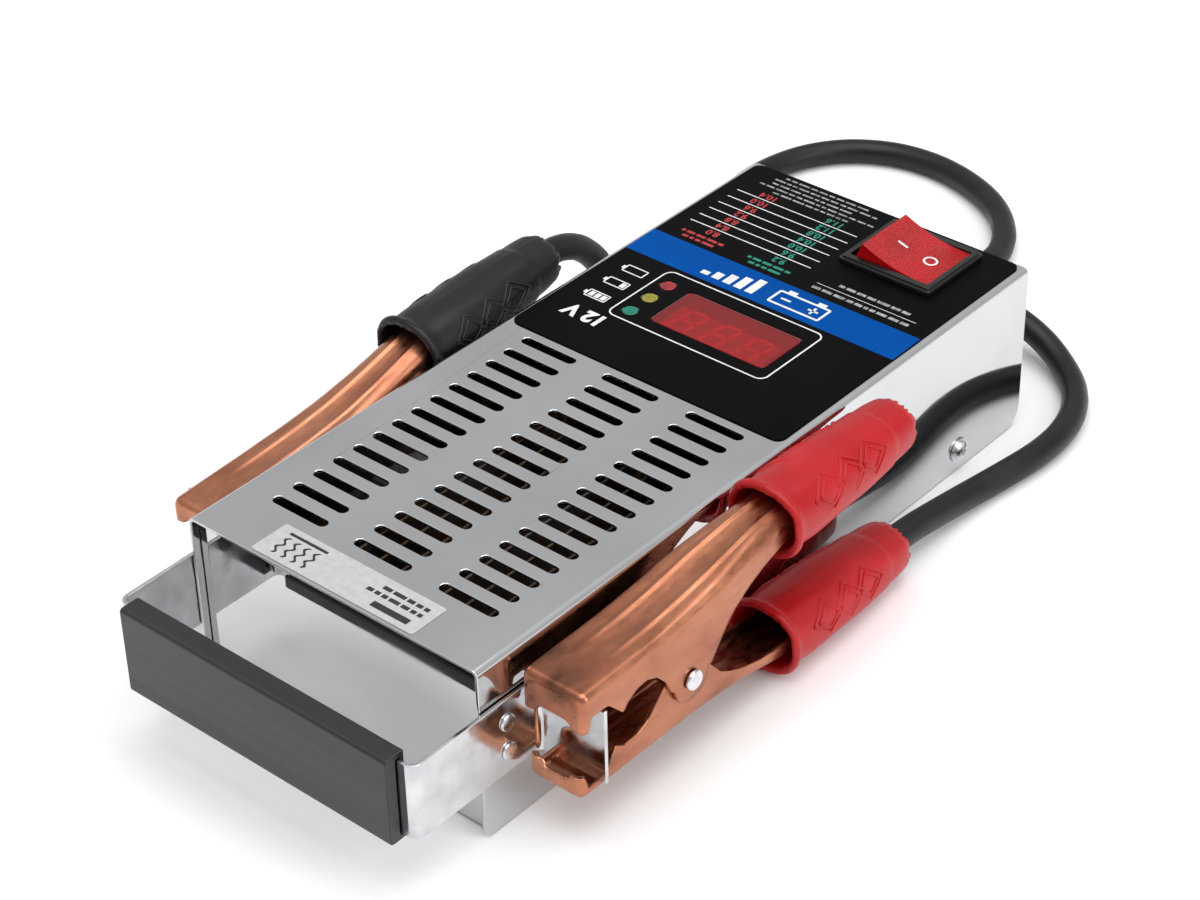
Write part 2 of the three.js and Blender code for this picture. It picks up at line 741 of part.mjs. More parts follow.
// The pivot rivet, a plain pin with a low head at each side.
function clipRivet() {
  const head = 10.8;
  return turned([
    [0, -head - 1.4],
    [2.8, -head - 1.1],
    [3.1, -head - 0.6],
    [3.1, -head],
    [RIVET_RADIUS, -head],
    [RIVET_RADIUS, head],
    [3.1, head],
    [3.1, head + 0.6],
    [2.8, head + 1.1],
    [0, head + 1.4],
  ], 'x', 20);
}

// The torsion spring winds round the rivet, with one leg behind each web.
function clipSpring() {
  const wire = 0.8;
  const radius = 4;
  const turns = 3.5;
  const pitch = 2.2;
  const points = [[(-turns * pitch) / 2 - 1, 24, -15.8], [(-turns * pitch) / 2 - 0.6, 12, -10.6]];
  const steps = 42;
  for (let step = 0; step <= steps; step += 1) {
    const angle = -Math.PI * 0.62 - (2 * Math.PI * turns * step) / steps;
    const x = pitch * turns * (step / steps - 0.5);
    points.push([x, radius * Math.sin(angle), radius * Math.cos(angle)]);
  }
  points.push([(turns * pitch) / 2 + 0.6, 12, 12.6], [(turns * pitch) / 2 + 1, 22, 21.6]);
  return tube(points, wire, 84, 8);
}

// A soft sleeve over a handle: a rolled flange in front, a swelling body and a narrow open end.
function sleeve(startZ, endZ) {
  const sides = 20;
  const outer = [[0, 11.9, 10.7], [1.2, 12.4, 11.3], [2.6, 12.2, 11], [3.6, 11.6, 9.7], [12, 11.5, 9.6]];
  outer.push([34, 10.6, 9.1], [50, 9.4, 8.6], [58, 8.6, 7.9], [61, 7.2, 6.8]);
  const inner = [[61, 5.2, 5.2], [57, 6, 5.8], [50, 7.9, 7.1], [34, 9.1, 7.7], [12, 10.1, 8.1]];
  inner.push([0, 10.4, 8.4]);
  const span = SLEEVE_END - SLEEVE_START;
  const rings = [...outer, ...inner].map(([distance, a, b]) => {
    const ring = [];
    const z = startZ + ((endZ - startZ) * distance) / span;
    for (let i = 0; i < sides; i += 1) {
      const angle = (-2 * Math.PI * i) / sides;
      ring.push([a * Math.cos(angle), SLEEVE_START + distance, z + b * Math.sin(angle)]);
    }
    return ring;
  });
  return geometryOf(solidOf(skin(rings, true)));
}

const LEVER_AXIS_Z = [21.6, 21.6];
const CABLE_AXIS_Z = [-18.6, -21.4];

function clip(colour, rubber) {
  const group = new THREE.Group();
  piece(`${colour}_clip_lever_half`, clipHalf(leverHalf, 1), finishes.copper, group);
  piece(`${colour}_clip_cable_half`, clipHalf(cableHalf, -1), finishes.copper, group);
  piece(`${colour}_clip_rivet`, clipRivet(), finishes.plated, group);
  piece(`${colour}_clip_spring`, clipSpring(), finishes.plated, group);
  piece(`${colour}_sleeve_lever`, sleeve(...LEVER_AXIS_Z), rubber, group);
  piece(`${colour}_sleeve_cable`, sleeve(...CABLE_AXIS_Z), rubber, group);
  tester.add(group);
  return group;
}

// The red clip grips its ear level, lever half on top.
clip('red', finishes.redRubber).position.set(CLIP_X, PIVOT_Y, STRAP_MID);

// The black clip is turned over, lever half below, and tips up a little behind.
const BLACK_PIVOT_Z = STRAP_MID + (PIVOT_Y - EAR_Y) * Math.sin(degrees(BLACK_PITCH));
const blackClip = clip('black', finishes.blackRubber);
blackClip.position.set(-CLIP_X, PIVOT_Y, BLACK_PIVOT_Z);
blackClip.rotation.set(degrees(BLACK_PITCH), Math.PI, 0);

// ---------------------------------------------------------------- leads

// A rubber grommet grips the edge of the back panel's hole and tapers off along the lead.
function grommet() {
  const outside = BACK - PANEL_INSET + GAP;
  const inside = BACK - PANEL_INSET - SHEET - GAP;
  const bore = LEAD_RADIUS + 0.3;
  return turned([
    [bore, inside - 2.5],
    [7.6, inside - 2.5],
    [7.6, inside],
    [5.6, inside],
    [5.6, outside],
    [7.6, outside],
    [7.6, outside + 2],
    [6.2, outside + 3],
    [5.3, outside + 5],
    [bore, outside + 5],
    [bore, inside - 2.5],
  ], 'y', 20);
}

// Each lead's free route, from its exit to its clip, laid on the surface that the tester stands on.
const routes = {
  red: [
    [7, 126.3, 25.4], [7.5, 134.5, 24.5], [10.8, 144.4, 21.4], [17.8, 152.4, 16.8],
    [28, 156.6, 12.2], [39, 156.2, 8.4], [50, 151.4, 5.6], [59.4, 143.6, 4.5],
    [66, 133, 4.4], [69.4, 121, 4.4], [70, 108, 4.4], [68.6, 95, 4.4],
    [66.8, 82, 4.6], [65.8, 70, 5.6], [65.5, 58, 7.2], [65.5, 48, 8.6],
    [65.5, 37, 9.4], [65.5, 27, 9.9],
  ],
  black: [
    [-17, 126.3, 25.4], [-16.8, 134.5, 24.6], [-14.8, 145.5, 19.6], [-11, 157, 13.4],
    [-7, 169, 8.4], [-4.4, 182, 5.4], [-5, 196, 4.4], [-11, 209, 4.4],
    [-22.6, 221, 4.4], [-38, 229, 4.4], [-55, 232.6, 4.4], [-72, 230.4, 4.4],
    [-86.4, 222, 4.4], [-96, 209, 4.4], [-100.6, 193, 4.4], [-100.6, 177, 4.4],
    [-97, 161, 4.4], [-92, 145, 4.4], [-87, 130, 4.4], [-82.4, 116, 4.6],
    [-78, 102.4, 6], [-74.2, 90.4, 10], [-71, 80.4, 17.4], [-68.8, 72.8, 26.6],
    [-67.4, 66.4, 36], [-66.4, 60, 45], [-65.8, 52, 52.4], [-65.6, 43.6, 56.2],
    [-65.5, 35.4, 57.1], [-65.5, 25.4, 56.6],
  ],
};

// Inside the housing each lead runs on from its grommet to its terminal.
const tails = {
  red: [
    [7, 125.6, 25.4], [7, 115, 25.4], [7.6, 103, 24.6], [12, 88, 21.4],
    [22, 70, 19], [31, 50, 21], [35.6, 32, 24.6], [36, 18.4, 25.3],
  ],
  black: [
    [-17, 125.6, 25.4], [-17, 115, 25.4], [-17.6, 103, 24.6], [-21, 88, 21.4],
    [-27, 70, 19], [-32.6, 50, 21], [-35.8, 32, 24.6], [-36, 18.4, 25.3],
  ],
};

for (const [colour, steps] of [['red', 22], ['black', 40]]) {
  piece(`grommet_${colour}`, grommet().translate(EXIT_X[colour], 0, EXIT_Z), finishes.blackRubber);
  const free = tube(routes[colour], LEAD_RADIUS, steps, LEAD_SIDES);
  piece(`lead_${colour}`, free, finishes.blackRubber);
  piece(`lead_tail_${colour}`, tube(tails[colour], LEAD_RADIUS, 10, LEAD_SIDES), finishes.blackRubber);
}

export default tester;
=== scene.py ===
import math
import random

import bmesh
import bpy
import numpy as np
from mathutils import Matrix, Vector


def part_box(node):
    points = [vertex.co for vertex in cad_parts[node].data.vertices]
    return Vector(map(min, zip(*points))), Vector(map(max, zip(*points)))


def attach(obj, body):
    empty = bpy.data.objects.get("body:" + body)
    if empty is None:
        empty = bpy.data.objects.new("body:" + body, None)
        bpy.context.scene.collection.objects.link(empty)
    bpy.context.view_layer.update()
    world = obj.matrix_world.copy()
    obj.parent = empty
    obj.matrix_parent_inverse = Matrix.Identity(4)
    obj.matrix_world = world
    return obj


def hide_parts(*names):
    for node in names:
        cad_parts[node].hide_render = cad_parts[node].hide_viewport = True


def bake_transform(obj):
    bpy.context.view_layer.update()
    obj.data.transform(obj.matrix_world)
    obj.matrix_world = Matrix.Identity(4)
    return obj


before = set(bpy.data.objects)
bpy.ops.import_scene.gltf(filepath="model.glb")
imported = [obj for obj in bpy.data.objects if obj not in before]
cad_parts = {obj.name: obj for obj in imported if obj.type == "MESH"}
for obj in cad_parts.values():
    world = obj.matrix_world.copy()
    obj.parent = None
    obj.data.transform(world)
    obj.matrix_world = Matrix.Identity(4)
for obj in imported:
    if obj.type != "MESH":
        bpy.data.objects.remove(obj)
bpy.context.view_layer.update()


# ---------------------------------------------------------------- stand, lights and camera
# The tester stands on a plain pale table. A large soft light hangs over it and a paler one fills
# from the right, under a grey ceiling that the bright sheet metal mirrors.

def aim(azimuth, elevation, roll):
    """A rotation that looks from that azimuth and elevation, in degrees."""
    a = math.radians(azimuth)
    e = math.radians(elevation)
    back = Vector((math.sin(a) * math.cos(e), -math.cos(a) * math.cos(e), math.sin(e)))
    right = Vector((math.cos(a), math.sin(a), 0))
    up = back.cross(right)
    turn = math.radians(roll)
    side = math.cos(turn) * right + math.sin(turn) * up
    top = math.cos(turn) * up - math.sin(turn) * right
    return Matrix((side, top, back)).transposed().to_4x4()


CAMERA_PLACE = (0.4488, -0.5266, 0.5201)
FOCAL_LENGTH = 87.9
TABLE_HALF = 6.0

camera = bpy.data.objects.new("camera", bpy.data.cameras.new("camera"))
bpy.context.scene.collection.objects.link(camera)
camera.data.sensor_width = 36
camera.data.lens = FOCAL_LENGTH
camera.data.clip_start = 0.01
camera.data.clip_end = 50
camera.matrix_world = Matrix.Translation(CAMERA_PLACE) @ aim(41.24, 35.10, -1.35)
bpy.context.scene.camera = camera
bpy.context.scene.view_settings.view_transform = "Standard"

table_mesh = bpy.data.meshes.new("table")
table_corners = [(x * TABLE_HALF, y * TABLE_HALF, 0) for x, y in ((-1, -1), (1, -1), (1, 1), (-1, 1))]
table_mesh.from_pydata(table_corners, [], [(0, 1, 2, 3)])
table = bpy.data.objects.new("table", table_mesh)
bpy.context.scene.collection.objects.link(table)


def softbox(name, place, size, power, target=(0, 0, 0.03)):
    """A square soft light at a place, turned towards the tester."""
    light = bpy.data.lights.new(name, "AREA")
    light.shape = "RECTANGLE"
    light.size = size[0]
    light.size_y = size[1]
    light.energy = power
    lamp = bpy.data.objects.new(name, light)
    bpy.context.scene.collection.objects.link(lamp)
    lamp.location = place
    lamp.rotation_euler = (Vector(place) - Vector(target)).to_track_quat("Z", "Y").to_euler()


softbox("top_light", (0.15, -0.1, 1.6), (1.6, 1.6), 18)
softbox("side_light", (1.5, 0.1, 0.9), (1.0, 1.0), 9)

world = bpy.data.worlds.new("studio")
bpy.context.scene.world = world
world.use_nodes = True
sky = world.node_tree.nodes
wires = world.node_tree.links
direction = sky.new("ShaderNodeTexCoord")
parts = sky.new("ShaderNodeSeparateXYZ")
shades = sky.new("ShaderNodeValToRGB")
wires.new(direction.outputs["Generated"], parts.inputs["Vector"])
wires.new(parts.outputs["Z"], shades.inputs["Fac"])
wires.new(shades.outputs["Color"], sky["Background"].inputs["Color"])
steps = shades.color_ramp.elements
steps[0].position = 0.0
steps[0].color = (0.95, 0.95, 0.96, 1)
steps[1].position = 0.3
steps[1].color = (0.56, 0.565, 0.57, 1)
for place, grey in ((0.62, 0.61), (0.8, 0.75), (1.0, 0.85)):
    step = steps.new(place)
    step.color = (grey, grey, grey * 1.01, 1)
sky["Background"].inputs["Strength"].default_value = 1.0


def finish(name, color, roughness, metallic=0.0, specular=0.5):
    """A plain finish to start from, and its shader."""
    made = bpy.data.materials.new(name)
    made.use_nodes = True
    shader = made.node_tree.nodes["Principled BSDF"]
    shader.inputs["Base Color"].default_value = (*color, 1)
    shader.inputs["Roughness"].default_value = roughness
    shader.inputs["Metallic"].default_value = metallic
    shader.inputs["Specular IOR Level"].default_value = specular
    return made, shader


def grain(made, scale, stretch=(1, 1, 1), detail=4.0, offset=0.0):
    """A cloudy pattern from 0 to 1, finer or coarser by scale (per metre) and drawn out by stretch."""
    nodes = made.node_tree.nodes
    links = made.node_tree.links
    place = nodes.new("ShaderNodeTexCoord")
    mapping = nodes.new("ShaderNodeMapping")
    mapping.inputs["Scale"].default_value = stretch
    mapping.inputs["Location"].default_value = (offset, offset, offset)
    noise = nodes.new("ShaderNodeTexNoise")
    noise.inputs["Scale"].default_value = scale
    noise.inputs["Detail"].default_value = detail
    links.new(place.outputs["Object"], mapping.inputs["Vector"])
    links.new(mapping.outputs["Vector"], noise.inputs["Vector"])
    return noise.outputs["Fac"]


def vary(made, pattern, socket, low, high, start=0.35, end=0.65):
    """Lets one number of the shader follow a pattern between two values."""
    reach = made.node_tree.nodes.new("ShaderNodeMapRange")
    reach.inputs["From Min"].default_value = start
    reach.inputs["From Max"].default_value = end
    reach.inputs["To Min"].default_value = low
    reach.inputs["To Max"].default_value = high
    made.node_tree.links.new(pattern, reach.inputs["Value"])
    shader = made.node_tree.nodes["Principled BSDF"]
    made.node_tree.links.new(reach.outputs["Result"], shader.inputs[socket])


table_paint, _ = finish("table_paint", (0.93, 0.93, 0.935), 0.9, specular=0.1)
table_cloud = grain(table_paint, 3)
vary(table_paint, table_cloud, "Roughness", 0.85, 0.95)
table.data.materials.append(table_paint)


# ---------------------------------------------------------------- leads
# Two heavy copper leads in smooth black rubber, just under 8.5 mm thick. They leave the back panel
# through grommets, lie on the table and run up into the clips.

MM = 0.001
ROUTES = {
    "red": [
        (7, 126.3, 25.4), (7.5, 134.5, 24.5), (10.8, 144.4, 21.4), (17.8, 152.4, 16.8), (28, 156.6, 12.2),
        (39, 156.2, 8.4), (50, 151.4, 5.6), (59.4, 143.6, 4.5), (66, 133, 4.4), (69.4, 121, 4.4),
        (70, 108, 4.4), (68.6, 95, 4.4), (66.8, 82, 4.6), (65.8, 70, 5.6), (65.5, 58, 7.2),
        (65.5, 48, 8.6), (65.5, 37, 9.4), (65.5, 27, 9.9),
    ],
    "black": [
        (-17, 126.3, 25.4), (-16.8, 134.5, 24.6), (-14.8, 145.5, 19.6), (-11, 157, 13.4), (-7, 169, 8.4),
        (-4.4, 182, 5.4), (-5, 196, 4.4), (-11, 209, 4.4), (-22.6, 221, 4.4), (-38, 229, 4.4),
        (-55, 232.6, 4.4), (-72, 230.4, 4.4), (-86.4, 222, 4.4), (-96, 209, 4.4), (-100.6, 193, 4.4),
        (-100.6, 177, 4.4), (-97, 161, 4.4), (-92, 145, 4.4), (-87, 130, 4.4), (-82.4, 116, 4.6),
        (-78, 102.4, 6), (-74.2, 90.4, 10), (-71, 80.4, 17.4), (-68.8, 72.8, 26.6), (-67.4, 66.4, 36),
        (-66.4, 60, 45), (-65.8, 52, 52.4), (-65.6, 43.6, 56.2), (-65.5, 35.4, 57.1), (-65.5, 25.4, 56.6),
    ],
}
LEAD_RADIUS = 4.2 * MM


def smooth_path(points, steps=6):
    """Points on one smooth curve through the given points (centripetal, as a bent cable lies)."""
    p = [Vector(q) for q in points]
    p = [2 * p[0] - p[1]] + p + [2 * p[-1] - p[-2]]
    path = []
    for i in range(1, len(p) - 2):
        a, b, c, d = p[i - 1:i + 3]
        t0 = 0.0
        t1 = t0 + (b - a).length ** 0.5
        t2 = t1 + (c - b).length ** 0.5
        t3 = t2 + (d - c).length ** 0.5
        for step in range(steps):
            t = t1 + (t2 - t1) * step / steps
            ab = a * ((t1 - t) / (t1 - t0)) + b * ((t - t0) / (t1 - t0))
            bc = b * ((t2 - t) / (t2 - t1)) + c * ((t - t1) / (t2 - t1))
            cd = c * ((t3 - t) / (t3 - t2)) + d * ((t - t2) / (t3 - t2))
            abc = ab * ((t2 - t) / (t2 - t0)) + bc * ((t - t0) / (t2 - t0))
            bcd = bc * ((t3 - t) / (t3 - t1)) + cd * ((t - t1) / (t3 - t1))
            path.append(abc * ((t2 - t) / (t2 - t1)) + bcd * ((t - t1) / (t2 - t1)))
    path.append(p[-2])
    return path


def blotch_colors(made, pattern, stops):
    """Colours over a pattern: stops are (place, colour)."""
    ramp = made.node_tree.nodes.new("ShaderNodeValToRGB")
    elements = ramp.color_ramp.elements
    for index, (place, color) in enumerate(stops):
        element = elements[index] if index < 2 else elements.new(place)
        element.position = place
        element.color = (*color, 1)
    made.node_tree.links.new(pattern, ramp.inputs["Fac"])
    shader = made.node_tree.nodes["Principled BSDF"]
    made.node_tree.links.new(ramp.outputs["Color"], shader.inputs["Base Color"])
    return ramp.outputs["Color"]


def emboss(made, *layers):
    """Fine relief: each layer is (pattern, depth in metres), the later ones on top of the first."""
    below = None
    for pattern, depth in layers:
        bump = made.node_tree.nodes.new("ShaderNodeBump")
        bump.inputs["Distance"].default_value = depth
        bump.inputs["Strength"].default_value = 1.0
        made.node_tree.links.new(pattern, bump.inputs["Height"])
        if below is not None:
            made.node_tree.links.new(below, bump.inputs["Normal"])
        below = bump.outputs["Normal"]
    shader = made.node_tree.nodes["Principled BSDF"]
    made.node_tree.links.new(below, shader.inputs["Normal"])


def linear(red, green, blue):
    """A colour given as 0 to 255 screen values."""
    shares = [c / 255 for c in (red, green, blue)]
    return tuple(((c + 0.055) / 1.055) ** 2.4 if c > 10 / 255 else c / 12.92 for c in shares)


lead_rubber, _ = finish("lead_rubber", linear(14, 14, 15), 0.4, specular=0.35)
dust = grain(lead_rubber, 900, detail=2.0)
scuffs = grain(lead_rubber, 60, detail=5.0)
blotch_colors(lead_rubber, scuffs, [(0.3, linear(11, 11, 12)), (0.6, linear(17, 17, 18)),
                                    (0.78, linear(34, 34, 35))])
vary(lead_rubber, scuffs, "Roughness", 0.34, 0.52)
emboss(lead_rubber, (dust, 0.00003), (scuffs, 0.00015))

for side, points in ROUTES.items():
    path = [p * MM for p in smooth_path(points)]
    curve = bpy.data.curves.new(f"lead_{side}_jacket", "CURVE")
    curve.dimensions = "3D"
    spline = curve.splines.new("POLY")
    spline.points.add(len(path) - 1)
    for point, place in zip(spline.points, path):
        point.co = (*place, 1)
    spline.use_smooth = True
    curve.bevel_depth = LEAD_RADIUS
    curve.bevel_resolution = 7
    curve.use_fill_caps = True
    curve.materials.append(lead_rubber)
    lead = bpy.data.objects.new(f"lead_{side}_jacket", curve)
    bpy.context.scene.collection.objects.link(lead)
    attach(lead, "tester")
    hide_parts(f"lead_{side}")


# ---------------------------------------------------------------- housing
# The cover is one folded sheet of bright-plated steel with punched vent slots; the tray under it is
# another. Their cut edges are lightly broken, and handling has left faint smears.

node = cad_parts


def dress(name, made, edge=0.15, angle=32, segments=2, clamp=True):
    """Gives a CAD piece its finish, softens its cut edges by edge (mm) and smooths its curves."""
    piece = node[name]
    piece.data.materials.clear()
    piece.data.materials.append(made)
    weld = piece.modifiers.new("weld", "WELD")
    weld.merge_threshold = 0.00001
    flat = piece.modifiers.new("flat_faces", "DECIMATE")
    flat.decimate_type = "DISSOLVE"
    flat.angle_limit = math.radians(0.6)
    if edge:
        bevel = piece.modifiers.new("broken_edges", "BEVEL")
        bevel.width = edge * MM
        bevel.segments = segments
        bevel.limit_method = "ANGLE"
        bevel.angle_limit = math.radians(angle)
        bevel.use_clamp_overlap = clamp
        bevel.miter_outer = "MITER_ARC"
    normals = piece.modifiers.new("even_shading", "WEIGHTED_NORMAL")
    normals.weight = 60
    normals.keep_sharp = False
    for polygon in piece.data.polygons:
        polygon.use_smooth = True
    return piece


bright_sheet, _ = finish("bright_sheet", (0.63, 0.635, 0.64), 0.04, metallic=1.0)
smears = grain(bright_sheet, 22, detail=6.0)
rolled = grain(bright_sheet, 400, stretch=(1, 0.02, 1), detail=2.0)
waves = grain(bright_sheet, 9, detail=1.0, offset=3.0)
vary(bright_sheet, smears, "Roughness", 0.015, 0.09, 0.42, 0.75)
blotch_colors(bright_sheet, smears, [(0.3, (0.66, 0.665, 0.67)), (0.72, (0.57, 0.575, 0.58))])
emboss(bright_sheet, (waves, 0.0003), (rolled, 0.0000015))
dress("top_cover", bright_sheet, edge=0.28, clamp=False)
dress("base_tray", bright_sheet, edge=0.18)


# ---------------------------------------------------------------- screws and rivets
# Zinc-plated pan-head screws with washers hold the cover to the tray's flanges, and tubular rivets
# hold the handle's arms to the cover.

bright_zinc, _ = finish("bright_zinc", (0.74, 0.75, 0.77), 0.22, metallic=1.0)
crystals = grain(bright_zinc, 350, detail=3.0)
blotch_colors(bright_zinc, crystals, [(0.3, (0.62, 0.63, 0.65)), (0.65, (0.80, 0.81, 0.82))])
vary(bright_zinc, crystals, "Roughness", 0.16, 0.34)
emboss(bright_zinc, (crystals, 0.00002))

for side in ("right", "left"):
    for place in ("front", "rear"):
        dress(f"side_screw_{side}_{place}", bright_zinc, edge=0.12)
    for place in ("low", "high"):
        dress(f"strap_rivet_{side}_{place}", bright_zinc, edge=0.12)


# ---------------------------------------------------------------- load strip and what it hangs on
# A nickel-chrome strip, browned by heat, folded to and fro on two ceramic bars. Brass clamps join
# its ends to the leads. It shows only as glints through the slots.

browned_strip, _ = finish("browned_strip", (0.30, 0.22, 0.17), 0.4, metallic=1.0)
heat = grain(browned_strip, 45, detail=5.0)
blotch_colors(browned_strip, heat, [(0.3, (0.16, 0.10, 0.08)), (0.5, (0.34, 0.25, 0.18)),
                                    (0.7, (0.28, 0.27, 0.30))])
vary(browned_strip, heat, "Roughness", 0.3, 0.55)
dress("load_element", browned_strip, edge=0.08)

fired_clay, _ = finish("fired_clay", (0.80, 0.77, 0.70), 0.85)
speckle = grain(fired_clay, 700, detail=3.0)
blotch_colors(fired_clay, speckle, [(0.35, (0.70, 0.66, 0.58)), (0.6, (0.83, 0.80, 0.74))])
emboss(fired_clay, (speckle, 0.00005))
for place in ("front", "rear"):
    dress(f"element_bar_{place}", fired_clay, edge=0.5)

turned_brass, _ = finish("turned_brass", (0.78, 0.60, 0.28), 0.25, metallic=1.0)
tooling = grain(turned_brass, 500, stretch=(1, 1, 0.05), detail=2.0)
vary(turned_brass, tooling, "Roughness", 0.18, 0.36)
blotch_colors(turned_brass, tooling, [(0.3, (0.70, 0.52, 0.24)), (0.7, (0.82, 0.65, 0.33))])
for name in ("terminal_red", "terminal_black", "board_spacer_1", "board_spacer_2", "board_spacer_3",
             "board_spacer_4"):
    dress(name, turned_brass, edge=0.15)


# ---------------------------------------------------------------- circuit board and display
# A green fibreglass board on spacers carries the three-digit display. The display's face is a red
# moulding with slanted segments, seen through a flush red window.

green_mask, _ = finish("green_mask", (0.03, 0.16, 0.07), 0.35)
tracks = grain(green_mask, 260, stretch=(1, 0.15, 1), detail=1.0)
blotch_colors(green_mask, tracks, [(0.45, (0.025, 0.13, 0.06)), (0.52, (0.05, 0.24, 0.10))])
emboss(green_mask, (tracks, 0.00004))
dress("circuit_board", green_mask, edge=0.1)

display_body, _ = finish("display_body", linear(188, 34, 38), 0.5)
moulding = grain(display_body, 900, detail=2.0)
blotch_colors(display_body, moulding, [(0.3, linear(180, 28, 32)), (0.7, linear(196, 38, 42))])
emboss(display_body, (moulding, 0.00003))
dress("display_module", display_body, edge=0.2)


def mesh_piece(name, builder, made, body, smooth=False):
    """A new piece from a bmesh, with its finish, on its CAD body."""
    mesh = bpy.data.meshes.new(name)
    bmesh.ops.remove_doubles(builder, verts=builder.verts, dist=1e-7)
    bmesh.ops.recalc_face_normals(builder, faces=builder.faces)
    builder.to_mesh(mesh)
    builder.free()
    mesh.materials.append(made)
    for polygon in mesh.polygons:
        polygon.use_smooth = smooth
    piece = bpy.data.objects.new(name, mesh)
    bpy.context.scene.collection.objects.link(piece)
    if body:
        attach(piece, body)
    return piece


def join_rings(builder, a, b):
    """A closed band of faces between two rings of as many points."""
    for i in range(len(a)):
        j = (i + 1) % len(a)
        builder.faces.new((a[i], a[j], b[j], b[i]))


def slab(builder, corners, low, high):
    """A flat plate: corners (x, y) in mm, between two heights in metres."""
    bottom = [builder.verts.new((x * MM, y * MM, low)) for x, y in corners]
    top = [builder.verts.new((x * MM, y * MM, high)) for x, y in corners]
    builder.faces.new(bottom)
    builder.faces.new(list(reversed(top)))
    join_rings(builder, bottom, top)


SEGMENTS = {  # each segment of a digit: from corner to corner, in half widths and half heights
    "top": ((-1, 1), (1, 1)), "middle": ((-1, 0), (1, 0)), "bottom": ((-1, -1), (1, -1)),
    "upper_left": ((-1, 1), (-1, 0)), "upper_right": ((1, 1), (1, 0)),
    "lower_left": ((-1, 0), (-1, -1)), "lower_right": ((1, 0), (1, -1)),
}
DIGIT_PITCH = 12.2
DIGIT_HALF_WIDTH = 3.1
DIGIT_HALF_HEIGHT = 5.9
SEGMENT_WIDTH = 1.4
SLANT = 0.14
DIGIT_SHIFT = 3.0


def segment_outline(start, end, width):
    """A bar with pointed ends between two points."""
    along = (Vector(end) - Vector(start)).normalized()
    across = Vector((-along.y, along.x)) * width / 2
    a = Vector(start) + along * 0.3
    b = Vector(end) - along * 0.3
    tip = along * width / 2
    return [a, a + tip - across, b - tip - across, b, b - tip + across, a + tip + across]


window_low, window_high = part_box("display_window")
window_x = (window_low.x + window_high.x) / 2 / MM
window_y = (window_low.y + window_high.y) / 2 / MM
display_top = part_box("display_module")[1].z
digits = bmesh.new()
for place in (-1, 0, 1):
    for start, end in SEGMENTS.values():
        ends = [(x * DIGIT_HALF_WIDTH, y * DIGIT_HALF_HEIGHT) for x, y in (start, end)]
        outline = segment_outline(*ends, SEGMENT_WIDTH)
        slanted = [(-(p.x + SLANT * p.y), -p.y) for p in outline]
        placed = [(window_x + place * DIGIT_PITCH + x, window_y - DIGIT_SHIFT + y) for x, y in slanted]
        slab(digits, placed, display_top - 0.05 * MM, display_top + 0.2 * MM)
segment_plastic, _ = finish("segment_plastic", linear(255, 150, 140), 0.4)
milk = grain(segment_plastic, 600, detail=2.0)
blotch_colors(segment_plastic, milk, [(0.3, linear(250, 140, 130)), (0.7, linear(255, 160, 150))])
mesh_piece("display_segments", digits, segment_plastic, "tester")

# A dark bar laid along the display's far side is painted shade: it stands in for the shadow that the window's
# recess casts across the display. It is no real part of the module.
painted_shade_strip = bmesh.new()
STRIP_HALF = 18.6
STRIP_Y = (3.6, 9.2)
strip = [(window_x - STRIP_HALF, window_y + STRIP_Y[0]), (window_x + STRIP_HALF, window_y + STRIP_Y[0]),
         (window_x + STRIP_HALF, window_y + STRIP_Y[1]), (window_x - STRIP_HALF, window_y + STRIP_Y[1])]
slab(painted_shade_strip, strip, display_top - 0.05 * MM, display_top + 0.1 * MM)
# Its dark red-brown is painted shadow of the recess, not the colour of any plastic.
painted_shade_plastic, _ = finish("painted_shade_plastic", linear(96, 40, 42), 0.5)
painted_shade_cloud = grain(painted_shade_plastic, 500, detail=2.0)
blotch_colors(painted_shade_plastic, painted_shade_cloud, [(0.3, linear(88, 36, 38)), (0.7, linear(104, 44, 46))])
mesh_piece("display_painted_shade", painted_shade_strip, painted_shade_plastic, "tester")

red_window, shader = finish("red_window", linear(222, 20, 30), 0.12)
shader.inputs["Transmission Weight"].default_value = 0.85
shader.inputs["Specular IOR Level"].default_value = 0.15
shader.inputs["IOR"].default_value = 1.49
haze = grain(red_window, 120, detail=4.0)
vary(red_window, haze, "Roughness", 0.08, 0.2)
emboss(red_window, (haze, 0.00002))
dress("display_window", red_window, edge=0.12)

for name, dark, light in (("red", (120, 22, 26), (165, 40, 44)), ("yellow", (118, 112, 24), (160, 152, 44)),
                          ("green", (0, 92, 76), (10, 128, 104))):
    lens, _ = finish(f"lamp_{name}", linear(*light), 0.25)
    cloud = grain(lens, 700, detail=2.0)
    blotch_colors(lens, cloud, [(0.3, linear(*dark)), (0.7, linear(*light))])
    emboss(lens, (cloud, 0.00002))
    dress(f"led_{name}", lens, edge=0.2)


# ---------------------------------------------------------------- printed face
# A thin black film with a fine pebbled surface, glued on the cover. A blue band, white rules, an
# outline round the display, and red and green figures are printed on it.

face_film, _ = finish("face_film", linear(7, 7, 8), 0.36, specular=0.03)
pebbles = grain(face_film, 1500, detail=2.0)
rubbed = grain(face_film, 30, detail=5.0)
blotch_colors(face_film, rubbed, [(0.3, linear(6, 6, 7)), (0.75, linear(11, 11, 12))])
vary(face_film, rubbed, "Roughness", 0.3, 0.46)
emboss(face_film, (pebbles, 0.00003))
dress("face_overlay", face_film, edge=0.1)

face_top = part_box("face_overlay")[1].z
INK_LOW = face_top - 0.02 * MM
INK_HIGH = face_top + 0.02 * MM


def bar(builder, x0, x1, y0, y1, low=INK_LOW, high=INK_HIGH):
    """A printed rectangle, in mm."""
    slab(builder, [(x0, y0), (x1, y0), (x1, y1), (x0, y1)], low, high)


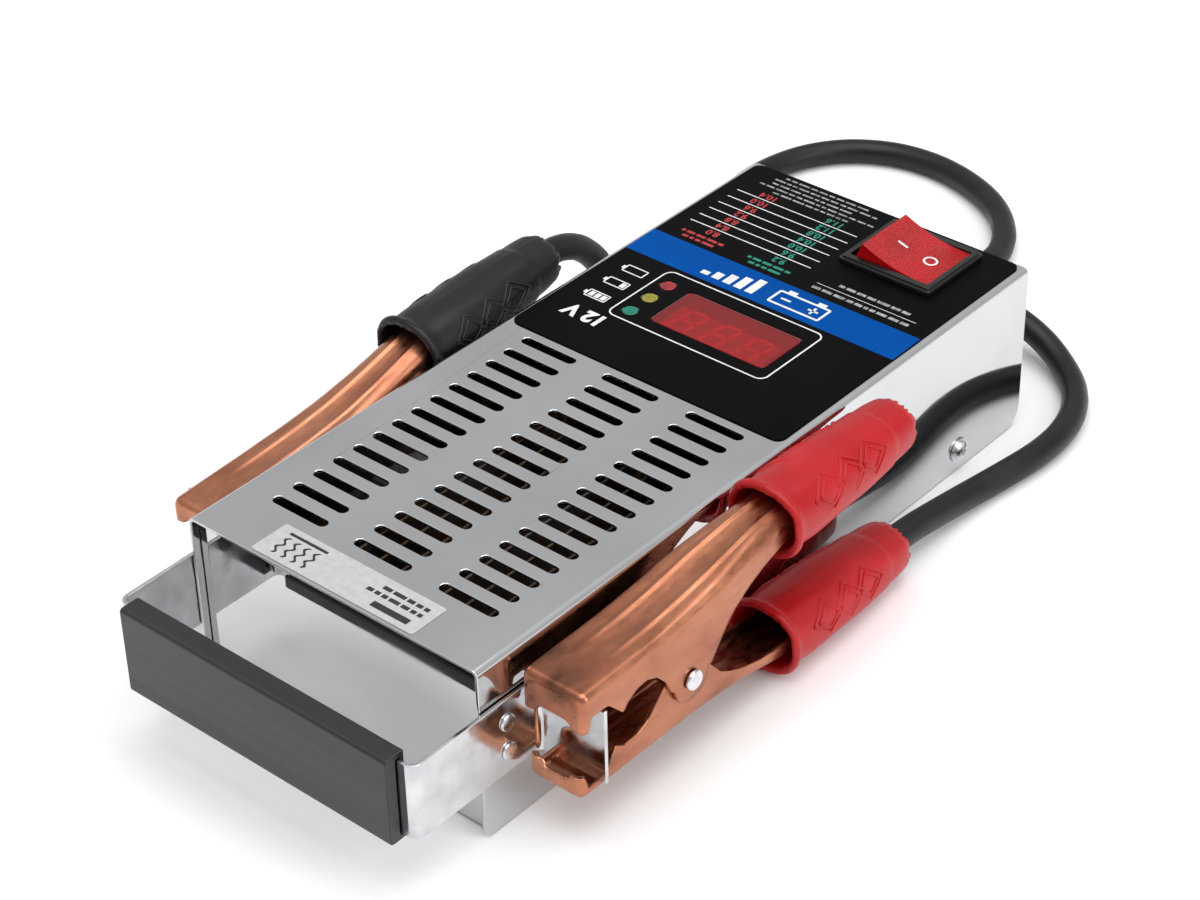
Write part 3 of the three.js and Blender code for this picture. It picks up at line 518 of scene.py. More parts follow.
def rounded(x0, x1, y0, y1, radius, steps=6):
    """The corners of a rounded rectangle, in mm."""
    corners = []
    for cx, cy, first in ((x1 - radius, y1 - radius, 0), (x0 + radius, y1 - radius, 90),
                          (x0 + radius, y0 + radius, 180), (x1 - radius, y0 + radius, 270)):
        for step in range(steps + 1):
            angle = math.radians(first + 90 * step / steps)
            corners.append((cx + radius * math.cos(angle), cy + radius * math.sin(angle)))
    return corners


def loop_line(builder, outer, inner, low=INK_LOW, high=INK_HIGH):
    """A printed line that closes on itself, between two outlines with the same number of corners."""
    rings = []
    for corners, height in ((outer, low), (outer, high), (inner, high), (inner, low)):
        rings.append([builder.verts.new((x * MM, y * MM, height)) for x, y in corners])
    for a, b in zip(rings, rings[1:] + rings[:1]):
        join_rings(builder, a, b)


def frame_line(builder, x0, x1, y0, y1, radius, width, low=INK_LOW, high=INK_HIGH):
    """A rounded rectangle drawn with a line."""
    inner = rounded(x0 + width, x1 - width, y0 + width, y1 - width, max(radius - width, 0.05))
    loop_line(builder, rounded(x0, x1, y0, y1, radius), inner, low, high)


def figures(builder, text, x, y, height, low=INK_LOW, high=INK_HIGH, bold=0.0):
    """Printed figures centred at a point, read from the lead end."""
    letters = bpy.data.curves.new("figures", "FONT")
    letters.body = text
    letters.size = height * MM / 0.7
    letters.align_x = "CENTER"
    letters.align_y = "CENTER"
    letters.extrude = (high - low) / 2
    letters.resolution_u = 3
    letters.offset = bold * MM
    holder = bpy.data.objects.new("figures", letters)
    bpy.context.scene.collection.objects.link(holder)
    bpy.context.view_layer.update()
    mesh = bpy.data.meshes.new_from_object(holder)
    turned = Matrix.Translation((x * MM, y * MM, (low + high) / 2)) @ Matrix.Rotation(math.pi, 4, "Z")
    mesh.transform(turned)
    builder.from_mesh(mesh)
    bpy.data.objects.remove(holder)
    bpy.data.meshes.remove(mesh)


def small_print(builder, x0, x1, y, height, seed, low=INK_LOW, high=INK_HIGH):
    """A line of word-like dashes in place of small print."""
    draw = random.Random(seed)
    x = x1
    while x > x0 + 1.2:
        word = min(draw.uniform(1.4, 4.6), x - x0)
        bar(builder, x - word, x, y - height / 2, y + height / 2, low, high)
        x -= word + 0.7


white_ink_mesh = bmesh.new()
grey_ink_mesh = bmesh.new()
frame_line(white_ink_mesh, -31, 27.7, 24.3, 54.6, 3, 0.5)
RULES = (105.1, 100.3, 95.6, 91.1, 86.3, 81.8)
for y in RULES:
    bar(white_ink_mesh, -45, 1.5, y - 0.2, y + 0.2)
for row, (start, end) in enumerate(((-37, -5), (-41, 0), (-40, -8), (-42, 2), (-35, -6))):
    small_print(grey_ink_mesh, start, end, 120.0 - 2.35 * row, 0.75, seed=row)
small_print(grey_ink_mesh, 13, 40, 79.2, 1.25, seed=11)
small_print(grey_ink_mesh, 8, 43, 74.0, 1.25, seed=12)
bar(white_ink_mesh, 8, 44, 76.3, 76.5)
figures(white_ink_mesh, "12 V", -34.5, 19.6, 5.4, bold=0.35)
LAMP_ROWS = {"red": (47.4, 0), "yellow": (38.8, 1), "green": (29.8, 3)}
for y, cells in LAMP_ROWS.values():  # a little battery beside each lamp: empty, low and full
    frame_line(white_ink_mesh, -42.6, -34.6, y - 2, y + 2, 0.5, 0.45)
    bar(white_ink_mesh, -43.5, -42.6, y - 0.8, y + 0.8)
    for cell in range(cells):
        right = -35.4 - 2.2 * cell
        bar(white_ink_mesh, right - 1.7, right, y - 1.2, y + 1.2)

BAND = (56.4, 70.3)
band_middle = sum(BAND) / 2
above = (INK_HIGH, INK_HIGH + 0.03 * MM)
frame_line(white_ink_mesh, 2, 21, band_middle - 4.2, band_middle + 3.2, 0.8, 0.8, *above)
for x in (4.6, 15.4):
    bar(white_ink_mesh, x, x + 3, band_middle + 3.2, band_middle + 4.6, *above)
bar(white_ink_mesh, 4.8, 8.4, band_middle - 0.9, band_middle - 0.1, *above)
bar(white_ink_mesh, 14.8, 18.4, band_middle - 0.9, band_middle - 0.1, *above)
bar(white_ink_mesh, 16.2, 17.0, band_middle - 2.3, band_middle + 1.3, *above)
for step in range(5):
    x = -3.5 - 4.2 * step
    bar(white_ink_mesh, x - 2.8, x, band_middle - 4.2, band_middle - 2.2 + 1.55 * (4 - step), *above)

white_ink, _ = finish("white_ink", linear(226, 226, 226), 0.45)
ink_cloud = grain(white_ink, 400, detail=3.0)
blotch_colors(white_ink, ink_cloud, [(0.3, linear(208, 208, 208)), (0.6, linear(232, 232, 232))])
mesh_piece("white_print", white_ink_mesh, white_ink, "tester")

grey_ink, _ = finish("grey_ink", linear(150, 150, 150), 0.45)
grey_cloud = grain(grey_ink, 600, detail=3.0)
blotch_colors(grey_ink, grey_cloud, [(0.35, linear(105, 105, 105)), (0.6, linear(165, 165, 165))])
mesh_piece("small_print", grey_ink_mesh, grey_ink, "tester")

band_mesh = bmesh.new()
bar(band_mesh, -50, 50, *BAND)
blue_ink, _ = finish("blue_ink", linear(0, 70, 150), 0.4, specular=0.02)
blue_cloud = grain(blue_ink, 40, detail=5.0)
blotch_colors(blue_ink, blue_cloud, [(0.3, linear(0, 66, 140)), (0.7, linear(0, 74, 152))])
emboss(blue_ink, (grain(blue_ink, 1500, detail=2.0), 0.00003))
mesh_piece("blue_band", band_mesh, blue_ink, "tester")

ROWS = [107.4 - 4.67 * row for row in range(7)]
for name, column, first, color in (("red", -34.2, 10.4, (176, 38, 42)), ("green", -8.6, 11.6, (0, 132, 112))):
    figures_mesh = bmesh.new()
    for row, y in enumerate(ROWS):
        figures(figures_mesh, f"{first - 0.4 * row:.1f}", column, y, 2.7, bold=0.1)
    small_print(figures_mesh, column - 9, column + 7, 75.6, 1.2, seed=21)
    small_print(figures_mesh, column - 7, column + 5, 73.2, 1.2, seed=22)
    ink, _ = finish(f"{name}_ink", linear(*color), 0.45)
    cloud = grain(ink, 400, detail=3.0)
    blotch_colors(ink, cloud, [(0.3, linear(*(c * 0.85 for c in color))), (0.6, linear(*color))])
    mesh_piece(f"{name}_figures", figures_mesh, ink, "tester")


# ---------------------------------------------------------------- caution label
# A silver self-adhesive label, stuck on the cover at the handle end. A plain heat sign and lines of
# small print are printed on it in black.

silver_film, _ = finish("silver_film", (0.54, 0.545, 0.55), 0.4, metallic=0.35)
foil = grain(silver_film, 500, detail=3.0)
blotch_colors(silver_film, foil, [(0.3, (0.51, 0.515, 0.52)), (0.7, (0.57, 0.575, 0.58))])
vary(silver_film, foil, "Roughness", 0.34, 0.48)
dress("caution_label", silver_film, edge=0.04)

label_low, label_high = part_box("caution_label")
LABEL = (label_high.z - 0.02 * MM, label_high.z + 0.03 * MM)
sign = bmesh.new()
left = label_low.x / MM
y_low = label_low.y / MM
bar(sign, left + 4, left + 18, y_low + 10.4, y_low + 11.4, *LABEL)
for wave in range(4):  # four rising ripples under the hot bar
    x = left + 5.6 + 3.6 * wave
    centres = [(x + 0.7 * math.sin(2.2 * t), y_low + 2 + 7.4 * t / 6) for t in np.linspace(0, 6, 19)]
    for (xa, ya), (xb, yb) in zip(centres, centres[1:]):
        slab(sign, [(xa - 0.45, ya), (xa + 0.45, ya), (xb + 0.45, yb), (xb - 0.45, yb)], *LABEL)
right = label_high.x / MM
bar(sign, right - 17, right - 4, y_low + 2.0, y_low + 4.2, *LABEL)
small_print(sign, right - 23, right - 3, y_low + 7.0, 1.4, 31, *LABEL)
small_print(sign, right - 21, right - 3, y_low + 9.8, 1.4, 32, *LABEL)
black_ink, _ = finish("black_ink", linear(28, 28, 28), 0.5)
black_cloud = grain(black_ink, 500, detail=3.0)
blotch_colors(black_ink, black_cloud, [(0.3, linear(22, 22, 22)), (0.7, linear(36, 36, 36))])
mesh_piece("caution_sign", sign, black_ink, "tester")


# ---------------------------------------------------------------- rocker switch
# A snap-in switch: a bevelled black bezel and a hollowed red rocker with fine ribs across its top.
# Its I and O are printed in white on the rocker.

black_plastic, _ = finish("black_plastic", linear(17, 17, 18), 0.32)
sparks = grain(black_plastic, 1400, detail=2.0)
worn = grain(black_plastic, 40, detail=5.0)
blotch_colors(black_plastic, worn, [(0.3, linear(14, 14, 15)), (0.7, linear(22, 22, 23))])
vary(black_plastic, worn, "Roughness", 0.26, 0.4)
emboss(black_plastic, (sparks, 0.00002))
dress("switch_housing", black_plastic, edge=0.25)

rocker_red, shader = finish("rocker_red", linear(168, 5, 11), 0.2, specular=0.25)
shader.inputs["Subsurface Weight"].default_value = 0.2
shader.inputs["Subsurface Radius"].default_value = (0.004, 0.001, 0.001)
depth = grain(rocker_red, 90, detail=3.0)
blotch_colors(rocker_red, depth, [(0.3, linear(152, 3, 8)), (0.7, linear(176, 8, 14))])
ribs = rocker_red.node_tree.nodes.new("ShaderNodeTexWave")
ribs.bands_direction = "Y"
ribs.inputs["Scale"].default_value = 330
place = rocker_red.node_tree.nodes.new("ShaderNodeTexCoord")
rocker_red.node_tree.links.new(place.outputs["Object"], ribs.inputs["Vector"])
emboss(rocker_red, (ribs.outputs["Fac"], 0.00014))
dress("rocker_button", rocker_red, edge=0.3, segments=3)

ROCKER_PIVOT = Vector((22.15, 104.5, 52))
ROCKER_TILT = math.radians(12)
ROCKER_REACH = 12.3


def on_rocker(x, y, lift):
    """A point on the rocker's hollowed top, lift mm above it, in metres."""
    z = 7.6 + 1.45 * (x / ROCKER_REACH) ** 2 + lift
    tilted = Vector((x * math.cos(ROCKER_TILT) + z * math.sin(ROCKER_TILT), y,
                     -x * math.sin(ROCKER_TILT) + z * math.cos(ROCKER_TILT)))
    return (ROCKER_PIVOT + tilted) * MM


def rocker_mark(builder, outer, inner=None):
    """A printed mark on the rocker's top, as a plate or as a ring."""
    loops = [(outer, -0.05), (outer, 0.05)]
    if inner:
        loops += [(inner, 0.05), (inner, -0.05)]
    rings = [[builder.verts.new(on_rocker(x, y, lift)) for x, y in corners] for corners, lift in loops]
    for a, b in zip(rings, rings[1:] + (rings[:1] if inner else [])):
        join_rings(builder, a, b)
    if not inner:
        builder.faces.new(list(reversed(rings[0])))
        builder.faces.new(rings[1])


marks = bmesh.new()
rocker_mark(marks, [(-6.6, -0.4), (-3.0, -0.4), (-3.0, 0.4), (-6.6, 0.4)])
circle = [(math.cos(2 * math.pi * i / 28), math.sin(2 * math.pi * i / 28)) for i in range(28)]
ring_edges = [[(5.6 + radius * x, radius * y) for x, y in circle] for radius in (2.3, 1.65)]
rocker_mark(marks, *ring_edges)
mesh_piece("rocker_marks", marks, white_ink, "rocker")


# ---------------------------------------------------------------- handle
# A strap of bright zinc-plated steel bent round the front, its ends turned out as ears. The grip is
# an extruded black plastic channel snapped over it.

strap_plate, _ = finish("strap_plate", (0.68, 0.685, 0.69), 0.12, metallic=1.0)
frost = grain(strap_plate, 130, detail=6.0)
drawn = grain(strap_plate, 300, stretch=(1, 1, 0.04), detail=2.0, offset=2.0)
vary(strap_plate, frost, "Roughness", 0.08, 0.3, 0.4, 0.72)
blotch_colors(strap_plate, frost, [(0.3, (0.72, 0.725, 0.73)), (0.7, (0.54, 0.545, 0.56))])
emboss(strap_plate, (drawn, 0.000002), (frost, 0.00001))
dress("handle_strap", strap_plate, edge=0.25)

grip_plastic, _ = finish("grip_plastic", linear(17, 17, 18), 0.36, specular=0.6)
streaks = grain(grip_plastic, 260, stretch=(0.03, 1, 1), detail=3.0)
specks = grain(grip_plastic, 900, detail=2.0)
blotch_colors(grip_plastic, streaks, [(0.3, linear(13, 13, 14)), (0.7, linear(24, 24, 25))])
vary(grip_plastic, streaks, "Roughness", 0.3, 0.44)
emboss(grip_plastic, (streaks, 0.00004), (specks, 0.00002))
dress("handle_grip", grip_plastic, edge=0.35, segments=3)


# ---------------------------------------------------------------- spring clips: pressed halves
# Each clip is two channels pressed from 1.2 mm steel sheet and copper-plated. Two ribs stiffen each
# web, the front ends are drawn down into toothed lips, and the plating is smudged with oxide.

SHEET = 1.2
CLIP_NOSE = -43.0
BOSS = 6.9

LEVER = {
    "web": [(-43, 20.2), (-12, 20.6), (1, 21.8), (17, 24.2), (33, 26.4), (46, 27), (68, 26.8), (90, 26.2)],
    "width": [(-43, 10.5), (14, 10.5), (44, 8), (90, 5.6)],
    "edge": [(-43, 8.4), (-41.2, 8.4), (-40.2, 12.9), (-33.4, 12.7), (-30, 9.2), (-27.6, 6.6), (-25.6, 9.0),
             (-22, 10.9), (-18, 11.2), (-14, 9.4), (-10.6, 5.6), (-8.2, 0.5)],
    "rear_edge": [(8.2, 0.5), (10.4, 3.4), (13.5, 7.6), (18, 11.4), (24, 14.4), (32, 17), (41, 18.6),
                  (90, 19.2)],
    "lip": (8.4, 11.0),
}
CABLE = {
    "web": [(-43, 14.5), (-12, 14.9), (1, 15.5), (14, 16.7), (27, 19.2), (40, 22.4), (46, 23.5), (68, 24.7),
            (90, 25.6)],
    "width": [(-43, 9), (14, 9), (44, 8), (90, 5.6)],
    "edge": [(-43, 7.4), (-41.2, 7.4), (-39.8, 12.7), (-33.4, 12.7), (-30.6, 6.2), (-29, 4.6), (-26, 6.6),
             (-20, 6.4), (-16, 4.6), (-12.6, 1.0), (-9.6, -2.0), (-7.6, -3.0)],
    "rear_edge": [(8.2, 0.5), (10.4, 3.0), (14, 7.4), (18, 10.0), (24, 12.8), (32, 15.2), (41, 16.8),
                  (90, 18.4)],
    "lip": (7.4, 9.4),
}


def cheek_edge(half, y):
    """How far down the cheeks reach: the jaw, the round boss at the pivot, and the handle."""
    first = half["edge"][-1][0]
    last = half["rear_edge"][0][0]
    if y <= first:
        return float(np.interp(y, *zip(*half["edge"])))
    if y >= last:
        return float(np.interp(y, *zip(*half["rear_edge"])))
    boss = -math.sqrt(max(BOSS ** 2 - y * y, 0.0))
    into = min((y - first) / 3, (last - y) / 3, 1.0)
    ends = half["edge"][-1][1] if y < 0 else half["rear_edge"][0][1]
    return ends + (boss - ends) * math.sin(math.pi / 2 * into)


def softened(values, ys, reach):
    """Rounds the corners of a line sampled at ys."""
    out = []
    for y in ys:
        weight = np.exp(-((ys - y) / reach) ** 2)
        out.append(float((values * weight).sum() / weight.sum()))
    return np.array(out)


def pressed_half(half, up):
    """The closed mesh of one pressed half in the clip's own frame, in mm: vertices and faces."""
    ys = np.concatenate([np.linspace(-43, -40, 13), np.arange(-39.5, 16, 0.5), np.linspace(16.5, 90, 38)])
    fine = np.arange(-43, 90.01, 0.25)
    web = softened(np.interp(fine, *zip(*half["web"])), fine, 3.0)
    edge = softened(np.array([cheek_edge(half, y) for y in fine]), fine, 0.45)
    cheeks = 9
    bend = 5
    across = 33
    outer_rings = []
    inner_rings = []
    for y in ys:
        from_nose = min(y - CLIP_NOSE, 2.4)
        drop = 2.4 - math.sqrt(max(2.4 ** 2 - (2.4 - from_nose) ** 2, 0.0))
        full_width = float(np.interp(y, *zip(*half["width"])))
        width = full_width - 0.8 * drop
        top = float(np.interp(y, fine, web)) - drop
        low = float(np.interp(y, fine, edge))
        radius = 2.3 + 1.9 * min(max((y + 10) / 45, 0.0), 1.0)
        ribbed = min(max((y + 27) / 10, 0.0), 1.0)
        low = min(low, top - radius - 0.4)
        for skin, rings in ((0.0, outer_rings), (SHEET, inner_rings)):
            w = width - skin
            t = top - skin
            r = max(radius - skin, 0.6)
            shift = y + skin * (1 - min((y - CLIP_NOSE) / 8, 1.0))
            line = []
            for k in range(cheeks):
                line.append((-w, shift, low + (t - r - low) * k / (cheeks - 1)))
            for k in range(1, bend + 1):
                angle = math.pi / 2 * k / (bend + 1)
                line.append((-w + r - r * math.cos(angle), shift, t - r + r * math.sin(angle)))
            for k in range(across):
                x = (-w + r) + 2 * (w - r) * k / (across - 1)
                rib = sum(math.exp(-((x - side * 0.4 * full_width) / 0.7) ** 2) for side in (-1, 1))
                line.append((x, shift, t + ribbed * (0.45 * rib - 0.25 * math.exp(-(x / 2.2) ** 2))))
            mirrored = [(-x, s, z) for x, s, z in reversed(line[:cheeks + bend])]
            rings.append(line + mirrored)
    count = len(outer_rings[0])
    sheet_edge = [(0.12, 0.10), (0.5, 0.0), (0.88, 0.10)]
    vertices = []
    rings = []
    for outer, inner in zip(outer_rings, inner_rings):
        ring = list(outer)
        for end in (-1, 0):
            (xo, yo, zo), (xi, yi, zi) = outer[end], inner[end]
            steps = sheet_edge if end == -1 else reversed(sheet_edge)
            rim = [(xo + (xi - xo) * s, yo + (yi - yo) * s, zo - 0.25 + lift) for s, lift in steps]
            if end == -1:
                ring += rim + list(reversed(inner))
            else:
                ring += rim
        rings.append(list(range(len(vertices), len(vertices) + len(ring))))
        vertices += ring
    faces = []
    size = len(rings[0])
    for a, b in zip(rings, rings[1:]):
        for i in range(size):
            j = (i + 1) % size
            faces.append((a[i], a[j], b[j], b[i]))
    last = rings[-1]
    inner_start = count + len(sheet_edge)
    inner_last = inner_start + count - 1
    for i in range(count - 1):
        faces.append((last[i], last[i + 1], last[inner_last - 1 - i], last[inner_last - i]))
    rim_right = [last[count - 1]] + last[count:inner_start + 1]
    rim_left = [last[0]] + list(reversed(last[inner_start + count:])) + [last[inner_start + count - 1]]
    faces.append(tuple(rim_right))
    faces.append(tuple(rim_left))

    # the lip that closes the nose: outer and inner walls, and the toothed edge between them
    first = rings[0]
    side = cheeks + bend
    tooth, gap = half["lip"]
    walls = []
    for ring in (first[:count], list(reversed(first[inner_start:inner_start + count]))):
        wall = [ring[side - 1:side + 1 + across]]
        for k in range(side - 2, -1, -1):
            left_point = vertices[ring[k]]
            right_point = vertices[ring[count - 1 - k]]
            share = 1 - k / (side - 2)
            row = [ring[k]]
            for i in range(1, across + 1):
                s = i / (across + 1)
                x = left_point[0] + (right_point[0] - left_point[0]) * s
                middle = math.exp(-(x / (0.72 * abs(left_point[0]))) ** 8)
                lift = (gap - tooth) * middle * share
                row.append(len(vertices))
                vertices.append((x, left_point[1], left_point[2] + lift * share))
            row.append(ring[count - 1 - k])
            wall.append(row)
        walls.append(wall)
        for above, below in zip(wall, wall[1:]):
            for i in range(len(above) - 1):
                faces.append((above[i], above[i + 1], below[i + 1], below[i]))
    columns = []
    left_rim = list(reversed(first[inner_start + count:]))
    right_rim = first[count:inner_start]
    outer_row = walls[0][-1]
    inner_row = walls[1][-1]
    for i in range(len(outer_row)):
        if i == 0:
            columns.append([outer_row[0]] + left_rim + [inner_row[0]])
        elif i == len(outer_row) - 1:
            columns.append([outer_row[-1]] + right_rim + [inner_row[-1]])
        else:
            (xo, yo, zo), (xi, yi, zi) = vertices[outer_row[i]], vertices[inner_row[i]]
            column = [outer_row[i]]
            for s, lift in sheet_edge:
                column.append(len(vertices))
                vertices.append((xo + (xi - xo) * s, yo + (yi - yo) * s, zo + (zi - zo) * s - 0.25 + lift))
            columns.append(column + [inner_row[i]])
    for a, b in zip(columns, columns[1:]):
        for i in range(len(a) - 1):
            faces.append((a[i], a[i + 1], b[i + 1], b[i]))
    return [(x, y, up * z) for x, y, z in vertices], faces


PIVOT_X = 65.5
PIVOT_Y = -67
PIVOT_Z = 30.8
BLACK_TIP = math.radians(2)
TIP_ARM = 35  # from the pivot forward to where the black clip rests on its ear


def clip_frame(side):
    """Where a clip's own frame lies: the red one level, the black one turned over and tipped up."""
    if side == "red":
        return Matrix.Translation((PIVOT_X * MM, PIVOT_Y * MM, PIVOT_Z * MM))
    pivot = PIVOT_Z + TIP_ARM * math.sin(BLACK_TIP)
    turn = Matrix.Rotation(BLACK_TIP, 4, "X") @ Matrix.Rotation(math.pi, 4, "Y")
    return Matrix.Translation((-PIVOT_X * MM, PIVOT_Y * MM, pivot * MM)) @ turn


def place_on_clip(builder, side):
    """Moves a mesh drawn in the clip's frame, in mm, to its place."""
    bmesh.ops.transform(builder, matrix=clip_frame(side) @ Matrix.Scale(MM, 4), verts=builder.verts)


copper, _ = finish("copper_plate", (0.52, 0.22, 0.125), 0.32, metallic=1.0)
oxide = grain(copper, 52, stretch=(1, 0.45, 1), detail=9.0)
mottle = grain(copper, 500, stretch=(1, 0.4, 1), detail=4.0, offset=1.0)
blotch_colors(copper, oxide, [(0.28, (0.60, 0.27, 0.16)), (0.46, (0.50, 0.205, 0.115)),
                              (0.60, (0.40, 0.15, 0.085)), (0.68, (0.25, 0.10, 0.06)),
                              (0.76, (0.07, 0.04, 0.03))])
vary(copper, mottle, "Roughness", 0.24, 0.42)
emboss(copper, (mottle, 0.00003))

for side in ("red", "black"):
    halves = (("lever", LEVER, 1, f"{side}_clip_lever"), ("cable", CABLE, -1, "tester"))
    for name, half, up, body in halves:
        vertices, faces = pressed_half(half, up)
        builder = bmesh.new()
        made_verts = [builder.verts.new(v) for v in vertices]
        for face in faces:
            builder.faces.new([made_verts[i] for i in face])
        place_on_clip(builder, side)
        plate = mesh_piece(f"{side}_clip_{name}_plate", builder, copper, body, smooth=True)
        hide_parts(f"{side}_clip_{name}_half")


# ---------------------------------------------------------------- spring clips: pivots and springs
# A zinc-plated rivet holds the halves together, inside a torsion spring of 1.6 mm wire whose legs
# press on the two webs.

def tube_mesh(builder, path, radius, sides=10):
    """A round wire along points, closed at both ends."""
    tangents = [(b - a).normalized() for a, b in zip(path, path[1:])]
    tangents.append(tangents[-1])
    normal = tangents[0].orthogonal().normalized()
    rings = []
    for point, tangent in zip(path, tangents):
        normal = (normal - tangent * normal.dot(tangent)).normalized()
        across = tangent.cross(normal)
        ring = []
        for i in range(sides):
            angle = 2 * math.pi * i / sides
            outward = math.cos(angle) * normal + math.sin(angle) * across
            ring.append(builder.verts.new(point + radius * outward))
        rings.append(ring)
    for a, b in zip(rings, rings[1:]):
        join_rings(builder, a, b)
    builder.faces.new(list(reversed(rings[0])))
    builder.faces.new(rings[-1])


SPRING_TURNS = 3.5
SPRING_PITCH = 2.2
SPRING_RADIUS = 4.0
WIRE_RADIUS = 0.8
spring_steps = 84
half_width = SPRING_TURNS * SPRING_PITCH / 2
coil = [(-half_width - 1, 24, -15.8), (-half_width - 0.8, 17, -12.9), (-half_width - 0.6, 12, -10.6)]
for step in range(spring_steps + 1):
    share = step / spring_steps
    angle = -0.62 * math.pi - 2 * math.pi * SPRING_TURNS * share
    coil.append((SPRING_PITCH * SPRING_TURNS * (share - 0.5), SPRING_RADIUS * math.sin(angle),
                 SPRING_RADIUS * math.cos(angle)))
coil += [(half_width + 0.6, 12, 12.6), (half_width + 0.8, 17, 17.2), (half_width + 1, 22, 21.6)]

for side in ("red", "black"):
    dress(f"{side}_clip_rivet", bright_zinc, edge=0.2)
    builder = bmesh.new()
    tube_mesh(builder, smooth_path(coil, steps=3), WIRE_RADIUS)
    place_on_clip(builder, side)
    spring = mesh_piece(f"{side}_clip_coil", builder, bright_zinc, None, smooth=True)
    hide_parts(f"{side}_clip_spring")
    placed = clip_frame(side)
    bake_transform(spring)


# ---------------------------------------------------------------- spring clips: sleeves
# Soft vinyl sleeves, dip-moulded and pulled over the handles: a rolled flange in front, a moulding
# seam along each, lozenges in relief on both flanks and a rough-cut rear end.

SLEEVE_START = 43.0
SLEEVE_SPAN = 61.0
SLEEVE_AXES = {"lever": (21.6, 21.6), "cable": (-18.6, -21.4)}
OUTER = [(0, 11.6, 10.5), (0.5, 12.2, 11.1), (1.3, 12.4, 11.3), (2.2, 12.3, 11.1), (2.9, 11.8, 10.4),
         (3.6, 11.3, 9.6), (5, 11.2, 9.4), (9, 11.4, 9.6), (16, 11.4, 9.6), (26, 11.1, 9.4), (36, 10.5, 9.0),
         (44, 9.9, 8.7), (48.4, 9.6, 8.5), (49.2, 9.2, 8.1), (54, 8.9, 7.9), (58, 8.4, 7.5), (60, 7.6, 6.9),
         (61, 6.6, 6.1)]
INNER = [(60.6, 5.4, 5.3), (58, 5.4, 5.4), (50, 7.6, 6.9), (34, 9.0, 7.6), (12, 10.0, 8.1), (1.4, 10.4, 8.5),
         (0.2, 10.8, 9.2)]


def sleeve_point(name, distance, a, b, angle, seam=0.0):
    """A point of a sleeve's skin: a slightly squared oval round the handle's axis."""
    start, end = SLEEVE_AXES[name]
    z = start + (end - start) * distance / SLEEVE_SPAN
    c = math.cos(angle)
    s = math.sin(angle)
    squared = (abs(c) ** 2.4 + abs(s) ** 2.4) ** (-1 / 2.4)
    grow = squared * (1 + seam)
    return Vector((a * c * grow, SLEEVE_START + distance, z + b * s * grow))


def oval(distance):
    """The two half widths of a sleeve's skin at a distance along it."""
    along = [row[0] for row in OUTER]
    return [float(np.interp(distance, along, [row[k] for row in OUTER])) for k in (1, 2)]


def sleeve_skin(builder, name, seed):
    """The sleeve's own skin, inside and out."""
    draw = random.Random(seed)
    sides = 56
    ragged = [draw.uniform(-0.9, 0.6) for _ in range(sides)]
    marks_at = np.concatenate([np.linspace(0, 5, 14), np.linspace(6.5, 47, 26), np.linspace(48, 61, 18)])
    skin = [(distance, *oval(distance)) for distance in marks_at]
    rings = []
    for distance, a, b in skin + INNER:
        inside = (distance, a, b) in INNER
        ring = []
        for i in range(sides):
            angle = -2 * math.pi * i / sides
            from_seam = abs(math.cos(angle))
            seam = 0.0 if inside else 0.028 * math.exp(-(from_seam / 0.06) ** 2)
            dent = 0.0 if inside else 0.012 * math.sin(3 * angle + 0.21 * distance + seed)
            point = sleeve_point(name, distance, a, b, angle, seam + dent * min(distance / 10, 1))
            near_end = max((distance - 57) / 4, 0.0)
            near_lip = max(1 - distance / 1.5, 0.0)
            point.y += ragged[i] * (near_end + 0.35 * near_lip)
            ring.append(builder.verts.new(point))
        rings.append(ring)
    for a, b in zip(rings, rings[1:] + rings[:1]):
        join_rings(builder, a, b)


LOZENGE_TURN = {("red", "lever"): 30, ("red", "cable"): 20, ("black", "cable"): -16, ("black", "lever"): 0}


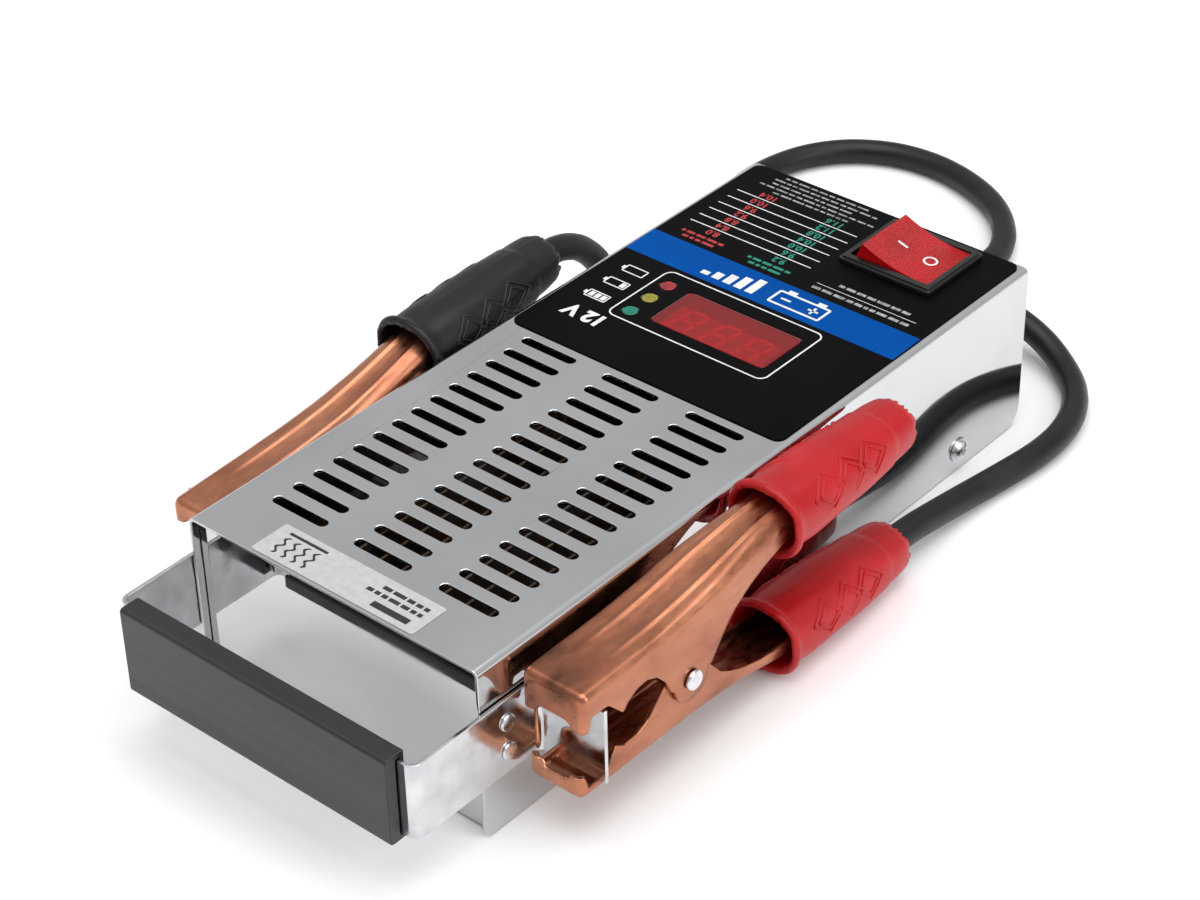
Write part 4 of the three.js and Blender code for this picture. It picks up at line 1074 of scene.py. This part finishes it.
def relief_line(builder, name, corners, flank, turned):
    """A raised line along corners (distance along the sleeve, way round the flank), both in mm."""
    samples = []
    for (d0, h0), (d1, h1) in zip(corners, corners[1:]):
        count = max(int(math.hypot(d1 - d0, h1 - h0) / 0.8), 1)
        for k in range(count):
            samples.append((d0 + (d1 - d0) * k / count, h0 + (h1 - h0) * k / count))
    samples.append(corners[-1])

    def on_skin(distance, height, lift):
        a, b = (half + lift for half in oval(distance))
        angle = math.radians(turned) + height / b
        if flank < 0:
            angle = math.pi - angle
        return sleeve_point(name, distance, a, b, angle)

    rings = []
    for k, (distance, height) in enumerate(samples):
        nearby = samples[min(k + 1, len(samples) - 1)]
        before = samples[max(k - 1, 0)]
        run = Vector((nearby[0] - before[0], nearby[1] - before[1])).normalized()
        across = Vector((-run.y, run.x)) * 0.38
        ring = []
        for share, lift in ((-1, -0.25), (-1, 0.05), (-0.5, 0.3), (0.5, 0.3), (1, 0.05), (1, -0.25)):
            at = (distance + across.x * share, height + across.y * share)
            ring.append(builder.verts.new(on_skin(*at, lift)))
        rings.append(ring)
    for a, b in zip(rings, rings[1:]):
        join_rings(builder, a, b)
    builder.faces.new(list(reversed(rings[0])))
    builder.faces.new(rings[-1])


def lozenge(centre, reach, rise):
    """The closed corners of a lozenge."""
    return [(centre - reach, 0), (centre, rise), (centre + reach, 0), (centre, -rise), (centre - reach, 0)]


red_vinyl, _ = finish("red_vinyl", linear(172, 14, 20), 0.36, specular=0.35)
bloom = grain(red_vinyl, 45, detail=5.0)
skin_grain = grain(red_vinyl, 700, detail=3.0)
blotch_colors(red_vinyl, bloom, [(0.3, linear(160, 10, 16)), (0.6, linear(176, 16, 22)),
                                 (0.8, linear(188, 34, 38))])
vary(red_vinyl, bloom, "Roughness", 0.3, 0.46)
emboss(red_vinyl, (bloom, 0.0003), (skin_grain, 0.00002))

black_vinyl, _ = finish("black_vinyl", linear(14, 14, 15), 0.4, specular=0.35)
black_bloom = grain(black_vinyl, 45, detail=5.0)
blotch_colors(black_vinyl, black_bloom, [(0.3, linear(11, 11, 12)), (0.7, linear(20, 20, 21))])
vary(black_vinyl, black_bloom, "Roughness", 0.34, 0.5)
emboss(black_vinyl, (black_bloom, 0.0003), (grain(black_vinyl, 700, detail=3.0), 0.00002))

for side, vinyl in (("red", red_vinyl), ("black", black_vinyl)):
    for name, body in (("lever", f"{side}_clip_lever"), ("cable", "tester")):
        builder = bmesh.new()
        sleeve_skin(builder, name, seed=len(side + name))
        for flank in (-1, 1):
            for centre in (17, 27, 37):
                for reach, rise in ((7.0, 5.4), (4.6, 3.5)):
                    relief_line(builder, name, lozenge(centre, reach, rise), flank, LOZENGE_TURN[side, name])
        place_on_clip(builder, side)
        piece = mesh_piece(f"{side}_clip_{name}_sleeve", builder, vinyl, body, smooth=True)
        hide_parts(f"{side}_sleeve_{name}")


# ---------------------------------------------------------------- grommets and inner leads
# Rubber grommets grip the back panel's holes and taper along the leads, which run on inside to
# their terminals.

for side in ("red", "black"):
    dress(f"grommet_{side}", lead_rubber, edge=0.25)
    dress(f"lead_tail_{side}", lead_rubber, edge=0)
